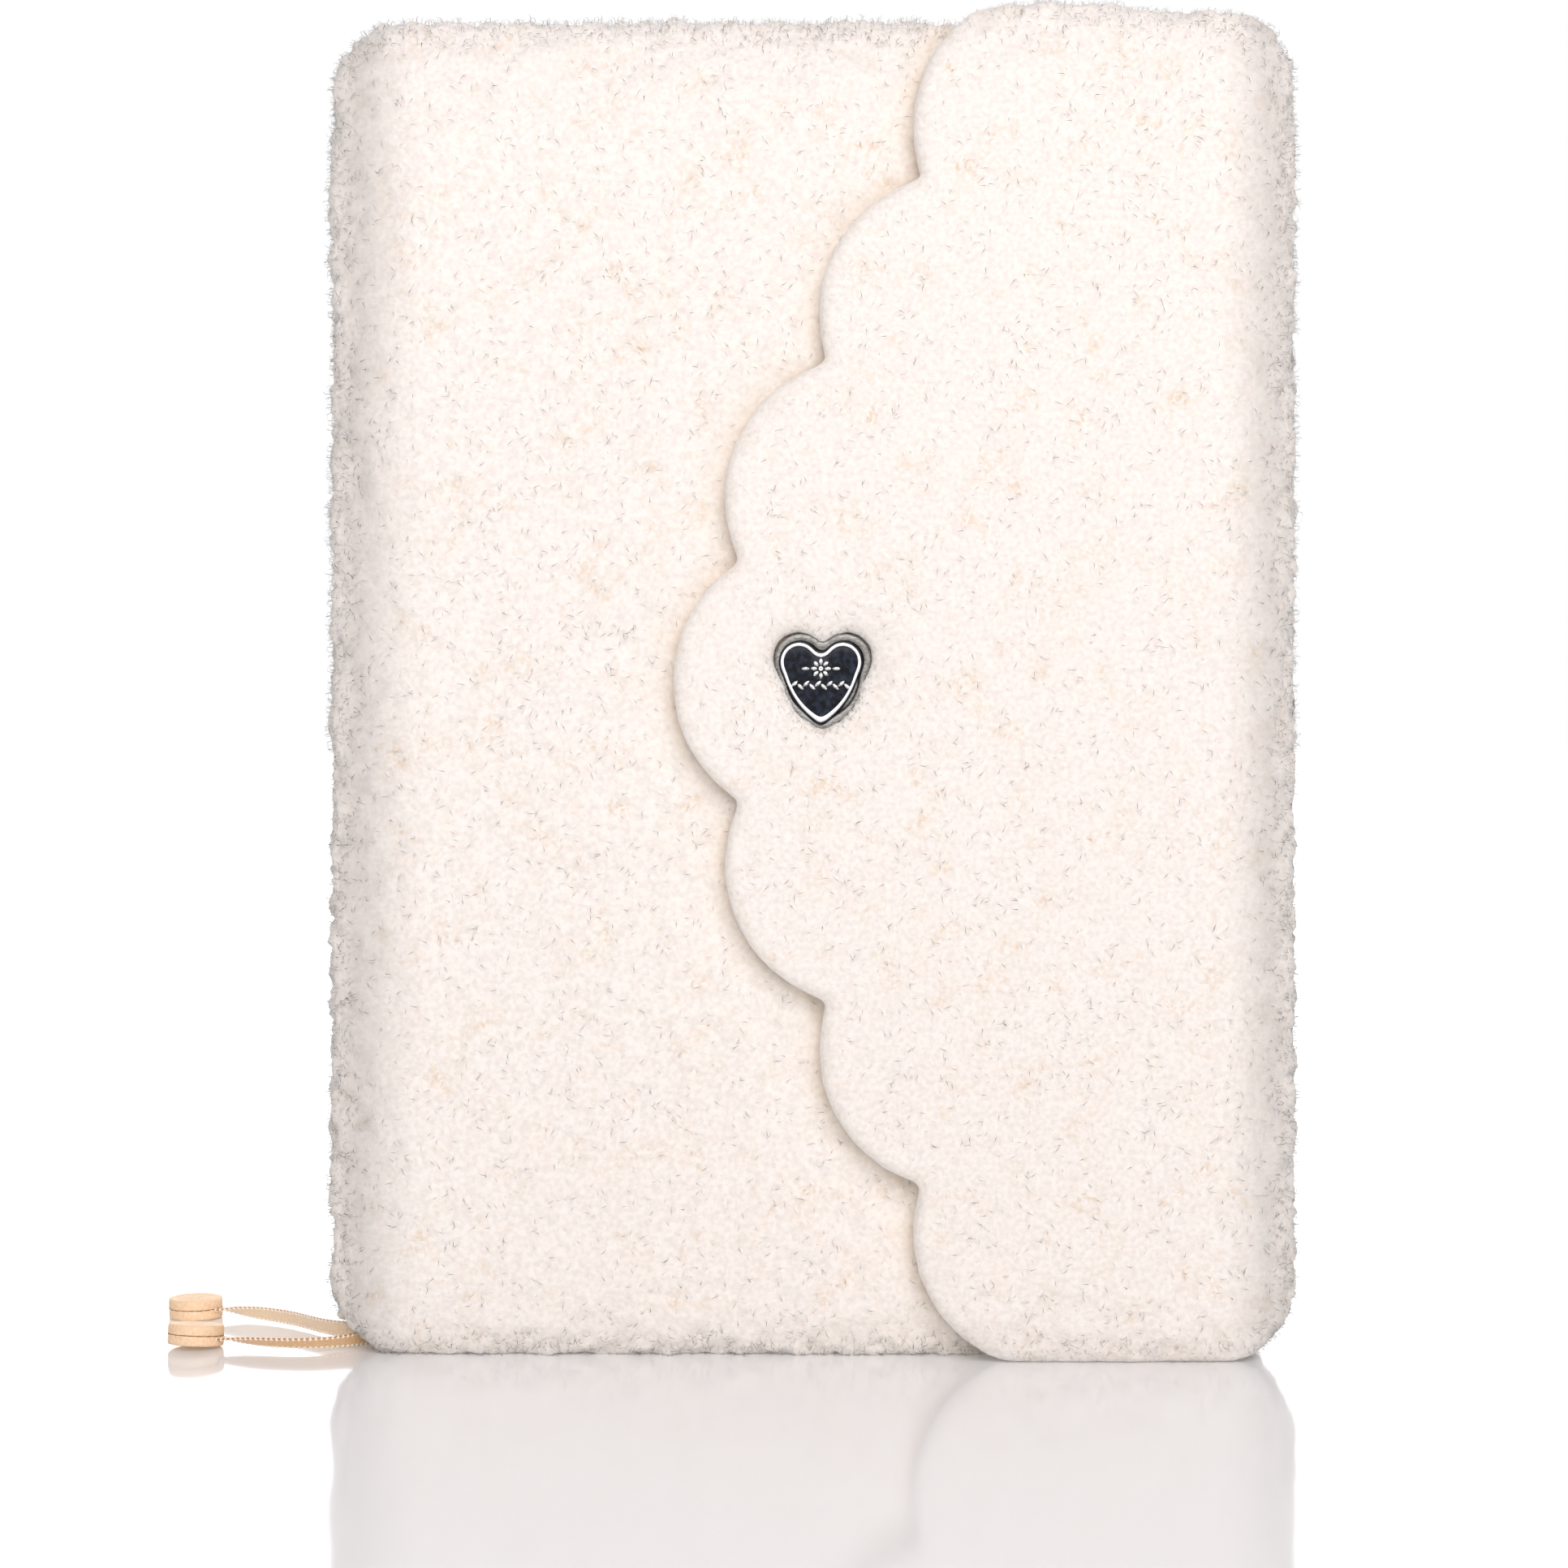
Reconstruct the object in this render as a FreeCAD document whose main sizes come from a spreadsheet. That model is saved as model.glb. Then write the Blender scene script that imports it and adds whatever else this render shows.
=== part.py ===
import FreeCAD
import Part
import Sketcher
import math
import os

# A prayer book standing on its tail. X runs from the spine to the fore edge, Y from the front cover to
# the back cover and Z from tail to head. The origin is the middle of the foot it stands on.
# The fleece is one sheet on the real book: it is cut here at the two folds beside the fore edge,
# which are the hinges of the fore-edge wall and of the scalloped flap.

DRIVING_SIZES = [
    ("book_width", 155.0),
    ("cover_height", 214.0),
    ("corner_radius", 11.5),
    ("rear_face", 21.5),  # outer fleece of the back cover, along Y
    ("front_face", -15.1),  # outer fleece of the front cover
    ("flap_face", -21.5),  # outer fleece of the flap
    ("fleece", 4.0),
    ("foam", 1.5),
    ("board", 2.5),
    ("rim", 3.25),  # fleece turned over the edges of a board
    ("front_edge", 70.0),  # fore edge of the front cover, along X
    ("joint_width", 11.5),  # from the spine's outer face to the near edge of a cover board
    ("spine_board_depth", 1.7),
    ("spine_foot", 4.6),  # the spine stops short of the foot, so the ribbons pass under it
    ("page_width", 135.0),
    ("page_height", 200.0),
    ("page_corner", 8.0),
    ("paper", 0.3),
    ("signature_depth", 1.56),
    ("slip", 0.02),  # between layers that only rest on each other
    ("block_setback", 1.8),  # from the spine board to the folds of the signatures
    ("ribbon_gap", 0.34),
    ("glue_layer", 0.3),
    ("tape_width", 12.0),
    ("band_radius", 1.0),
    ("band_drop", 10.0),
    ("lining", 0.5),
    ("flap_board_depth", 1.5),
    ("fold_clearance", 1.0),  # from a fold's axis to the fleece on either side of it
    ("board_clearance", 3.0),  # from a fold's axis to the boards on either side of it
    ("fold_round", 3.0),
    ("wrap_foot", 0.4),
    ("wrap_height", 215.2),
    ("lobe_radius", 22.0),
    ("lobe_middle", 109.3),  # height of the middle lobe
    ("lobe_pitch", 29.4),
    ("lobe_tip", 0.4),  # X of the middle lobe's centre
    ("lobe_first_step", 8.3),
    ("lobe_step", 15.1),
    ("badge_middle", 1.9),
    ("badge_height", 109.3),
    ("heart_lift", 3.45),  # from the badge's middle up to the centres of the heart's lobes
    ("heart_lobe", 4.3),  # radius of the heart's two round lobes
    ("heart_spread", 3.5),  # from the heart's middle to each lobe's centre
    ("heart_drop", 11.5),  # from the lobes' centres down to the tip
    ("magnet_radius", 5.6),
    ("keeper_radius", 7.0),
    ("keeper_depth", 1.5),
    ("pin_radius", 0.45),
    ("pin_reach", 6.6),
    ("pin_lift", 2.8),  # from the badge's middle up to its pins
    ("clamp_width", 2.8),
    ("clamp_depth", 0.4),
    ("clamp_overhang", 1.5),  # of the bar beyond each pin
    ("clamp_slack", 0.2),  # round the bar in its seat
    ("ribbon_width", 3.0),
    ("ribbon_depth", 0.3),
    ("ribbon_left", -65.0),  # X of the ribbons' outer edge inside the block
    ("tab_radius", 4.55),
    ("tab_layer", 1.65),
    ("tab_seam", 0.1),
    ("tab_foot", 0.05),
]

SIGNATURES = 12
FRONT_RIBBON_AFTER = 6  # signatures in front of each ribbon
BACK_RIBBON_AFTER = 8
LOBES_EACH_SIDE = 3
SEWING_TAPES = 3
MOTIF_PETALS = 8
LINING_INSET = "1.5"

# How far each layer of the badge lies inside the plate's border, in mm; less than nothing is outside it.
BADGE_INSETS = {"opening": -0.9, "surround": -0.6, "plate": 0.0, "rim": 1.35, "rim_hole": 1.85, "inlay": 1.95}

doc = FreeCAD.newDocument("PrayerBook")
sheet = doc.addObject("Spreadsheet::Sheet", "Sizes")
for row, (alias, value) in enumerate(DRIVING_SIZES, start=1):
    sheet.set(f"A{row}", alias)
    sheet.set(f"B{row}", str(value))
    sheet.setAlias(f"B{row}", alias)
doc.recompute()

sub_parts = []


def size(alias):
    return float(sheet.get(alias))


def cell(alias):
    return "Sizes." + alias


def keep(item, label):
    """Names a finished sub-part and puts it on the list of pieces to write."""
    item.Label = label
    sub_parts.append(item)
    return item


# Expressions for the planes that the layers meet at.
half_width = "Sizes.book_width / 2"
back_backing = "(Sizes.rear_face - Sizes.fleece)"
front_backing = "(Sizes.front_face + Sizes.fleece)"
back_board_inner = "(Sizes.rear_face - Sizes.fleece - Sizes.foam - Sizes.board)"
front_board_inner = "(Sizes.front_face + Sizes.fleece + Sizes.foam + Sizes.board)"
spine_backing = "(Sizes.fleece - Sizes.book_width / 2)"
board_left = "(Sizes.joint_width - Sizes.book_width / 2)"
board_width = f"(Sizes.front_edge - Sizes.rim - {board_left})"
board_height = "(Sizes.cover_height - 2 * Sizes.rim)"
block_foot = "((Sizes.cover_height - Sizes.page_height) / 2)"
block_left = f"({spine_backing} + Sizes.spine_board_depth + Sizes.block_setback)"
fold_x = "(Sizes.book_width / 2 - Sizes.fleece)"  # both folds turn about lines at this X
front_fold_y = "(Sizes.flap_face + Sizes.fleece)"
lining_face = "(Sizes.flap_face + Sizes.fleece + Sizes.flap_board_depth + Sizes.lining)"
wrap_board_foot = "(Sizes.wrap_foot + Sizes.rim + 2)"
wrap_board_height = "(Sizes.wrap_height - 2 * Sizes.rim - 4)"


def origin_plane(body, role):
    return next(part for part in body.Origin.OriginFeatures if part.Role == role)


def rectangle_sketch(body, role, width, height, left="0", foot="0"):
    """A rectangle on one of the body's own planes, its sides held by expressions."""
    sketch = body.newObject("Sketcher::SketchObject", "Outline")
    sketch.AttachmentSupport = [(origin_plane(body, role), "")]
    sketch.MapMode = "FlatFace"
    corners = [FreeCAD.Vector(x, y, 0) for x, y in ((0, 0), (10, 0), (10, 10), (0, 10))]
    for start, end in zip(corners, corners[1:] + corners[:1]):
        sketch.addGeometry(Part.LineSegment(start, end))
    for side in range(4):
        sketch.addConstraint(Sketcher.Constraint("Coincident", side, 2, (side + 1) % 4, 1))
    for side, direction in enumerate(("Horizontal", "Vertical", "Horizontal", "Vertical")):
        sketch.addConstraint(Sketcher.Constraint(direction, side))
    sketch.addConstraint(Sketcher.Constraint("Coincident", 0, 1, -1, 1))
    across = sketch.addConstraint(Sketcher.Constraint("DistanceX", 0, 1, 0, 2, 10.0))
    up = sketch.addConstraint(Sketcher.Constraint("DistanceY", 1, 1, 1, 2, 10.0))
    sketch.setExpression(f"Constraints[{across}]", width)
    sketch.setExpression(f"Constraints[{up}]", height)
    sketch.setExpression("AttachmentOffset.Base.x", left)
    sketch.setExpression("AttachmentOffset.Base.y", foot)
    return sketch


def pad(body, sketch, length, reverse=False):
    feature = body.newObject("PartDesign::Pad", "Layer")
    feature.Profile = sketch
    feature.setExpression("Length", length)
    feature.Reversed = reverse
    return feature


def place(item, x="0", y="0", z="0"):
    for axis, expression in (("x", x), ("y", y), ("z", z)):
        item.setExpression(f"Placement.Base.{axis}", expression)


def round_edges(body, radius, wanted):
    """Rounds the straight edges of the body's tip that wanted(direction, middle) picks."""
    doc.recompute()
    tip = body.Tip
    names = []
    for number, edge in enumerate(tip.Shape.Edges, start=1):
        if edge.Curve.TypeId != "Part::GeomLine":
            continue
        ends = edge.Vertexes[-1].Point - edge.Vertexes[0].Point
        direction = max("XYZ", key=lambda axis: abs(getattr(ends, axis.lower())))
        if wanted(direction, edge.CenterOfMass):
            names.append(f"Edge{number}")
    feature = body.newObject("PartDesign::Fillet", "Rounding")
    feature.Base = (tip, names)
    feature.setExpression("Radius", radius)
    return feature


def plate(name, width, height, depth, corner, towards_back=False):
    """A flat layer facing front or back, which grows away from the plane that holds its corner."""
    body = doc.addObject("PartDesign::Body", name)
    sketch = rectangle_sketch(body, "XZ_Plane", width, height)
    pad(body, sketch, depth, reverse=towards_back)
    place(body, *corner)
    return body


def round_fore_corners(body, radius, width):
    half = width / 2
    round_edges(body, radius, lambda direction, middle: direction == "Y" and middle.x > half)


def common(name, base, tool):
    item = doc.addObject("Part::Common", name)
    item.Base = base
    item.Tool = tool
    return item


def cut(name, base, tool):
    item = doc.addObject("Part::Cut", name)
    item.Base = base
    item.Tool = tool
    return item


def rod(name, radius, length, x, y, z):
    """A cylinder whose axis runs from y towards the front."""
    item = doc.addObject("Part::Cylinder", name)
    item.setExpression("Radius", radius)
    item.setExpression("Height", length)
    item.Placement.Rotation = FreeCAD.Rotation(FreeCAD.Vector(1, 0, 0), 90)
    place(item, x, y, z)
    return item


def block(name, length, width, height, x, y, z):
    item = doc.addObject("Part::Box", name)
    item.setExpression("Length", length)
    item.setExpression("Width", width)
    item.setExpression("Height", height)
    place(item, x, y, z)
    return item


def outline_slab(name, foot, height):
    """The rounded outline that the case or the wrap has when seen from the front, as a deep slab."""
    slab = plate(name, cell("book_width"), height, "3 * Sizes.rear_face",
                 ("-" + half_width, "1.5 * Sizes.rear_face", foot))
    round_edges(slab, cell("corner_radius"), lambda direction, middle: direction == "Y")
    return slab


# Text block: folded signatures side by side, sewn on tapes and lined with mull and paper.

def signature_front(index):
    """Y of the front face of a signature, counted from the front cover."""
    ribbons = (index >= FRONT_RIBBON_AFTER) + (index >= BACK_RIBBON_AFTER)
    start = f"{front_board_inner} + 2 * Sizes.paper"
    return f"({start} + {index} * Sizes.signature_depth + {ribbons} * Sizes.ribbon_gap)"


def make_signature(index):
    name = f"signature_{index + 1:02d}"
    depth = "(Sizes.signature_depth - Sizes.slip)"
    body = plate(name, cell("page_width"), cell("page_height"), depth,
                 (block_left, signature_front(index), block_foot), towards_back=True)
    round_fore_corners(body, cell("page_corner"), size("page_width"))
    round_edges(body, "0.48 * " + depth, lambda direction, middle: direction == "Z" and middle.x < 1)
    keep(body, name)


def make_sheet(name, y, width, left):
    body = plate(name, width, cell("page_height"), "Sizes.paper - Sizes.slip",
                 (left, y, block_foot), towards_back=True)
    round_fore_corners(body, cell("page_corner"), size("page_width"))
    keep(body, name)


def make_endpapers():
    leaf_width = "(Sizes.page_width - 1)"
    leaf_left = f"({block_left} + 1)"
    paste_width = f"({board_width} - Sizes.rim)"
    back_leaf = f"({back_board_inner} - 2 * Sizes.paper)"
    back_paste = f"({back_board_inner} - Sizes.paper)"
    make_sheet("front_pastedown", front_board_inner, paste_width, board_left)
    make_sheet("front_flyleaf", f"({front_board_inner} + Sizes.paper)", leaf_width, leaf_left)
    make_sheet("back_flyleaf", back_leaf, leaf_width, leaf_left)
    make_sheet("back_pastedown", back_paste, paste_width, board_left)


def make_spine_lining():
    """Tapes against the folds, open cloth over them, then paper."""
    block_depth = f"({back_board_inner} - {front_board_inner} - 4 * Sizes.paper)"
    first = f"({front_board_inner} + 2 * Sizes.paper)"
    tapes = []
    for index in range(SEWING_TAPES):
        middle = f"{block_foot} + {index + 1} * Sizes.page_height / {SEWING_TAPES + 1}"
        tapes.append(block(f"tape_{index + 1}", cell("glue_layer"), block_depth, cell("tape_width"),
                           f"({block_left} - Sizes.glue_layer)", first, f"({middle} - Sizes.tape_width / 2)"))
    group = doc.addObject("Part::Compound", "tapes")
    group.Links = tapes
    keep(group, "sewing_tapes")
    for layer, name in ((2, "spine_mull"), (3, "spine_liner")):
        body = block(name, cell("glue_layer"), block_depth, "(Sizes.page_height - 2 * Sizes.band_drop - 2)",
                     f"({block_left} - {layer} * Sizes.glue_layer)", first,
                     f"({block_foot} + Sizes.band_drop + 1)")
        keep(body, name)


def make_band(name, bead_height, tongue_foot):
    """A corded bead over the folds at one end, with a cloth tongue glued down the spine."""
    depth = f"({back_board_inner} - {front_board_inner} - 4 * Sizes.paper)"
    last = f"({back_board_inner} - 2 * Sizes.paper)"
    bead_x = f"({block_left} - Sizes.glue_layer)"
    tongue_x = f"({block_left} - 2 * Sizes.glue_layer - Sizes.slip)"
    tongue_height = "(Sizes.band_drop + 0.9 * Sizes.band_radius)"
    bead = rod(name + "_bead", cell("band_radius"), depth, bead_x, last, bead_height)
    tongue = block(name + "_tongue", cell("glue_layer"), depth, tongue_height,
                   tongue_x, f"({last} - {depth})", tongue_foot)
    band = doc.addObject("Part::MultiFuse", name)
    band.Shapes = [bead, tongue]
    keep(band, name)


def make_inner_ribbon(name, index):
    gap_start = f"({signature_front(index)} - Sizes.ribbon_gap)"
    body = plate(name, cell("ribbon_width"), cell("page_height"), cell("ribbon_depth"),
                 (cell("ribbon_left"), gap_start, block_foot), towards_back=True)
    keep(body, name)


# Case: boards, foam and the fleece that is turned over the boards' edges.

def make_board(name, inner_face, towards_back, keeper=None):
    body = plate(name + "_body", board_width, board_height, cell("board"),
                 (board_left, inner_face, cell("rim")), towards_back)
    width = size("front_edge") - size("rim") - size("joint_width") + size("book_width") / 2
    round_fore_corners(body, "(Sizes.corner_radius - Sizes.rim)", width)
    keep(cut(name + "_cut", body, keeper) if keeper else body, name)


def make_foam(name, board_outer, towards_back):
    body = plate(name, board_width, board_height, "Sizes.foam - Sizes.slip",
                 (board_left, board_outer, cell("rim")), towards_back)
    width = size("front_edge") - size("rim") - size("joint_width") + size("book_width") / 2
    round_fore_corners(body, "(Sizes.corner_radius - Sizes.rim)", width)
    keep(body, name)


def make_cover_fleece(name, backing, towards_back, right, slab):
    """A sheet over the foam with a rim that is turned over the board at head, tail and fore edge."""
    body = doc.addObject("PartDesign::Body", name + "_tray")
    sheet_width = f"({right} - {spine_backing})"
    rim_width = f"(Sizes.front_edge - {spine_backing})"
    inward = "(Sizes.foam + Sizes.board)"
    outer = rectangle_sketch(body, "XZ_Plane", sheet_width, cell("cover_height"))
    pad(body, outer, cell("fleece"), reverse=towards_back)
    rim = rectangle_sketch(body, "XZ_Plane", rim_width, cell("cover_height"))
    pad(body, rim, inward, reverse=not towards_back)
    if right == cell("front_edge"):
        outer_edge = size("front_edge") + size("book_width") / 2 - size("fleece") - 0.1
        round_edges(body, cell("corner_radius"),
                    lambda direction, middle: direction == "Y" and middle.x > outer_edge)
    place(body, spine_backing, backing, "0")
    recess_width = f"({board_width} + {board_left} - {spine_backing} + 1)"
    recess = plate(name + "_recess", recess_width, board_height, "(Sizes.foam + Sizes.board + 1)",
                   (f"({spine_backing} - 1)", backing, cell("rim")), not towards_back)
    round_fore_corners(recess, "(Sizes.corner_radius - Sizes.rim)", size("page_width"))
    keep(common(name, cut(name + "_hollowed", body, recess), slab), name)


def make_spine(slab):
    front = f"({front_backing} - Sizes.fleece)"
    depth = "(Sizes.rear_face - Sizes.front_face)"
    height = "(Sizes.cover_height - 2 * Sizes.spine_foot)"
    wall = block("spine_wall", cell("fleece"), depth, height, "-" + half_width, front, cell("spine_foot"))
    keep(common("spine_fleece", wall, slab), "spine_fleece")
    inner_depth = f"({back_backing} - {front_backing})"
    board = block("spine_board", cell("spine_board_depth"), inner_depth, height,
                  spine_backing, front_backing, cell("spine_foot"))
    keep(board, "spine_board")


def make_keeper():
    """Steel disc let into the front board, flush with its outer face."""
    outer = f"({front_board_inner} - Sizes.board)"
    recess = rod("keeper_recess", "Sizes.keeper_radius + 0.1", "Sizes.keeper_depth + 1.1",
                 cell("badge_middle"), f"({outer} + Sizes.keeper_depth + 0.1)", cell("badge_height"))
    disc = rod("keeper", cell("keeper_radius"), cell("keeper_depth"),
               cell("badge_middle"), f"({outer} + Sizes.keeper_depth + 0.05)", cell("badge_height"))
    keep(disc, "front_keeper")
    return recess


# Fore-edge wall: it hangs on the fold at the back cover and carries the flap.

def make_wall(slab):
    foot = cell("wrap_foot")
    reach = "(Sizes.rear_face - Sizes.fleece - Sizes.fold_clearance)"
    body = doc.addObject("PartDesign::Body", "wall_strip")
    sketch = rectangle_sketch(body, "YZ_Plane", f"2 * {reach}", cell("wrap_height"), "-" + reach)
    pad(body, sketch, cell("fleece"))
    place(body, fold_x, "0", foot)
    outer = size("fleece") - 0.1
    round_edges(body, cell("fold_round"), lambda direction, middle: direction == "Z" and middle.x > outer)
    keep(common("wall_fleece", body, slab), "wall_fleece")
    half_board = "(Sizes.rear_face - Sizes.fleece - Sizes.board_clearance)"
    keep(block("wall_board", cell("flap_board_depth"), f"2 * {half_board}", wrap_board_height,
               f"({fold_x} - Sizes.flap_board_depth)", f"-{half_board}", wrap_board_foot), "wall_board")
    keep(block("wall_lining", cell("lining"), f"2 * {half_board}", wrap_board_height,
               f"({fold_x} - Sizes.flap_board_depth - Sizes.lining)", f"-{half_board}", wrap_board_foot),
         "wall_lining")


# Flap: seven round lobes, each a finger that reaches back to the fold.

def make_fingers(name, inset, right, face, depth):
    """The scalloped outline as a layer from face towards the front, inset from the fleece's edge."""
    shapes = []
    for index in range(-LOBES_EACH_SIDE, LOBES_EACH_SIDE + 1):
        steps = abs(index)
        shift = f"Sizes.lobe_first_step + {steps - 1} * Sizes.lobe_step" if steps else "0"
        x = f"(Sizes.lobe_tip + {shift})"
        z = f"(Sizes.lobe_middle + {index} * Sizes.lobe_pitch)"
        radius = f"(Sizes.lobe_radius - {inset})"
        shapes.append(rod(f"{name}_lobe", radius, depth, x, face, z))
        shapes.append(block(f"{name}_finger", f"({right} - {x})", depth, f"2 * {radius}",
                            x, f"({face} - {depth})", f"({z} - {radius})"))
    fused = doc.addObject("Part::MultiFuse", name)
    fused.Shapes = shapes
    fused.Refine = True
    return fused


def flap_limit(name, right, rounding, inset="0"):
    """The space that a flap layer may fill, up to its edge at the fold."""
    width = f"({right} + {half_width})"
    body = plate(name, width, f"(Sizes.wrap_height - 2 * {inset})", f"(-Sizes.flap_face + {lining_face})",
                 ("-" + half_width, lining_face, f"(Sizes.wrap_foot + {inset})"))
    if rounding:
        edge = size("book_width") - size("fleece") - size("fold_clearance") - 0.1
        depth = size("fleece") + size("flap_board_depth") + size("lining") - 0.1
        round_edges(body, rounding,
                    lambda direction, middle: direction == "Z" and middle.x > edge and middle.y < -depth)
    return body


def heart_sketch(body, inset):
    """A heart of two arcs and two tangent lines, scaled so that its border is about inset wide."""
    half = size("heart_spread") + size("heart_lobe")
    scale = 1 - inset / half
    radius = size("heart_lobe") * scale
    spread = size("heart_spread") * scale
    drop = size("heart_drop") * scale
    lift = (size("heart_lobe") - half) * (1 - scale)
    half_angle = math.atan(spread / drop) + math.asin(radius / math.hypot(spread, drop))
    tip = FreeCAD.Vector(0, lift - drop, 0)
    notch = FreeCAD.Vector(0, lift + math.sqrt(radius ** 2 - spread ** 2), 0)
    side = FreeCAD.Vector(spread + radius * math.cos(half_angle), lift - radius * math.sin(half_angle), 0)
    crown = FreeCAD.Vector(spread, lift + radius, 0)

    def mirrored(point):
        return FreeCAD.Vector(-point.x, point.y, 0)

    sketch = body.newObject("Sketcher::SketchObject", "Heart")
    sketch.AttachmentSupport = [(origin_plane(body, "XZ_Plane"), "")]
    sketch.MapMode = "FlatFace"
    sketch.addGeometry(Part.Arc(side, crown, notch))
    sketch.addGeometry(Part.Arc(notch, mirrored(crown), mirrored(side)))
    sketch.addGeometry(Part.LineSegment(mirrored(side), tip))
    sketch.addGeometry(Part.LineSegment(tip, side))
    return sketch


def heart(name, inset, depth, back):
    body = doc.addObject("PartDesign::Body", name)
    pad(body, heart_sketch(body, inset), depth)
    place(body, cell("badge_middle"), back, "Sizes.badge_height + Sizes.heart_lift")
    return body


def make_flap(slab):
    fold_edge = f"({fold_x} - Sizes.fold_clearance)"
    board_edge = f"({fold_x} - Sizes.board_clearance)"
    board_back = f"({front_fold_y} + Sizes.flap_board_depth)"
    past_fold = cell("book_width") + " / 2 + 5"
    whole_depth = "(Sizes.fleece + Sizes.flap_board_depth)"
    whole = make_fingers("flap_outline", "0", past_fold, board_back, whole_depth)
    limited = common("flap_in_wrap", whole, slab)
    edged = common("flap_edged", limited, flap_limit("flap_edge", fold_edge, cell("fold_round")))
    seat = make_fingers("board_seat", "Sizes.rim", past_fold, board_back, "Sizes.flap_board_depth")
    seat_limit = flap_limit("seat_edge", past_fold, None, "Sizes.rim")
    hollowed = cut("flap_hollowed", edged, common("board_seat_limited", seat, seat_limit))
    opening = heart("badge_opening", BADGE_INSETS["opening"], "2 * Sizes.fleece", front_fold_y)
    keep(cut("flap_fleece", hollowed, opening), "flap_fleece")

    board_inset = "(Sizes.rim + 0.1)"
    board = make_fingers("board_outline", board_inset, past_fold, board_back, "Sizes.flap_board_depth")
    board_body = common("flap_board_plain", board, flap_limit("board_edge", board_edge, None, board_inset))
    holes = doc.addObject("Part::MultiFuse", "board_holes")
    middle, height = cell("badge_middle"), cell("badge_height")
    magnet_back = f"({board_back} - Sizes.clamp_depth)"
    magnet_depth = "(Sizes.flap_board_depth - Sizes.clamp_depth - 0.05)"
    magnet_hole = rod("magnet_hole", "Sizes.magnet_radius + 0.1", "2 * Sizes.fleece",
                      middle, board_back, height)
    seat_length = "2 * (Sizes.pin_reach + Sizes.clamp_overhang + Sizes.clamp_slack)"
    seat_left = f"({middle} - Sizes.pin_reach - Sizes.clamp_overhang - Sizes.clamp_slack)"
    seat_foot = f"({height} + Sizes.pin_lift - Sizes.clamp_width / 2 - Sizes.clamp_slack)"
    clamp_seat = block("clamp_seat", seat_length, "Sizes.clamp_depth + 1",
                       "Sizes.clamp_width + 2 * Sizes.clamp_slack", seat_left, magnet_back, seat_foot)
    holes.Shapes = [magnet_hole, clamp_seat] + pin_rods("board_pin_hole", "Sizes.pin_radius + 0.05", "1", "8")
    keep(cut("flap_board", board_body, holes), "flap_board")
    keep(rod("flap_magnet", cell("magnet_radius"), magnet_depth, middle, magnet_back, height), "flap_magnet")

    lining_depth = "(Sizes.lining - Sizes.slip)"
    lining = make_fingers("lining_outline", LINING_INSET, past_fold, lining_face, lining_depth)
    lining_limit = flap_limit("lining_edge", board_edge, None, LINING_INSET)
    keep(common("flap_lining", lining, lining_limit), "flap_lining")


def pin_rods(name, radius, behind, length):
    """Rods at the badge's two pins, from behind the board's back face towards the front."""
    start = f"({front_fold_y} + Sizes.flap_board_depth + {behind})"
    return [rod(name, radius, length, f"(Sizes.badge_middle {side} Sizes.pin_reach)", start,
                "(Sizes.badge_height + Sizes.pin_lift)") for side in ("-", "+")]


# Badge: a bevelled plate on a leather surround, held by two pins riveted into a bar behind the board.

def make_badge():
    surround_depth = 0.4
    plate_depth = 1.4
    inlay_depth = 0.2
    rim_depth = 0.5
    plate_back = f"({front_fold_y} - {surround_depth})"
    plate_front = f"({front_fold_y} - {surround_depth} - {plate_depth})"

    surround = heart("surround_plain", BADGE_INSETS["surround"], str(surround_depth), front_fold_y)
    through = doc.addObject("Part::MultiFuse", "surround_holes")
    through.Shapes = pin_rods("surround_pin_hole", "Sizes.pin_radius + 0.05", "0", "8")
    keep(cut("badge_surround", surround, through), "badge_surround")

    metal = heart("badge_plate", BADGE_INSETS["plate"], str(plate_depth), plate_back)
    doc.recompute()
    layer = metal.Tip
    front_edges = [f"Edge{number}" for number, edge in enumerate(layer.Shape.Edges, start=1)
                   if edge.BoundBox.YMax < 0.01 - plate_depth]
    bevel = metal.newObject("PartDesign::Chamfer", "Bevel")
    bevel.Base = (layer, front_edges)
    bevel.Size = 0.7
    keep(metal, "badge_plate")

    keep(heart("badge_inlay", BADGE_INSETS["inlay"], str(inlay_depth), plate_front), "badge_inlay")
    ring = cut("badge_rim", heart("rim_outer", BADGE_INSETS["rim"], str(rim_depth), plate_front),
               heart("rim_hole", BADGE_INSETS["rim_hole"], "2", f"({plate_front} + 0.5)"))
    keep(ring, "badge_rim")
    make_motif(f"({plate_front} - {inlay_depth})")

    pins = doc.addObject("Part::Compound", "pins")
    pin_length = f"({surround_depth} + Sizes.flap_board_depth - 0.05)"
    pins.Links = pin_rods("badge_pin", cell("pin_radius"), "-0.05", pin_length)
    keep(pins, "badge_pins")
    bar = block("clamp_bar_plain", "2 * (Sizes.pin_reach + Sizes.clamp_overhang)",
                "Sizes.clamp_depth - 0.1", cell("clamp_width"),
                "(Sizes.badge_middle - Sizes.pin_reach - Sizes.clamp_overhang)",
                f"({front_fold_y} + Sizes.flap_board_depth - Sizes.clamp_depth + 0.05)",
                "(Sizes.badge_height + Sizes.pin_lift - Sizes.clamp_width / 2)")
    bar_holes = doc.addObject("Part::MultiFuse", "bar_holes")
    bar_holes.Shapes = pin_rods("bar_pin_hole", "Sizes.pin_radius + 0.03", "1", "4")
    keep(cut("clamp_bar", bar, bar_holes), "clamp_bar")


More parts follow.
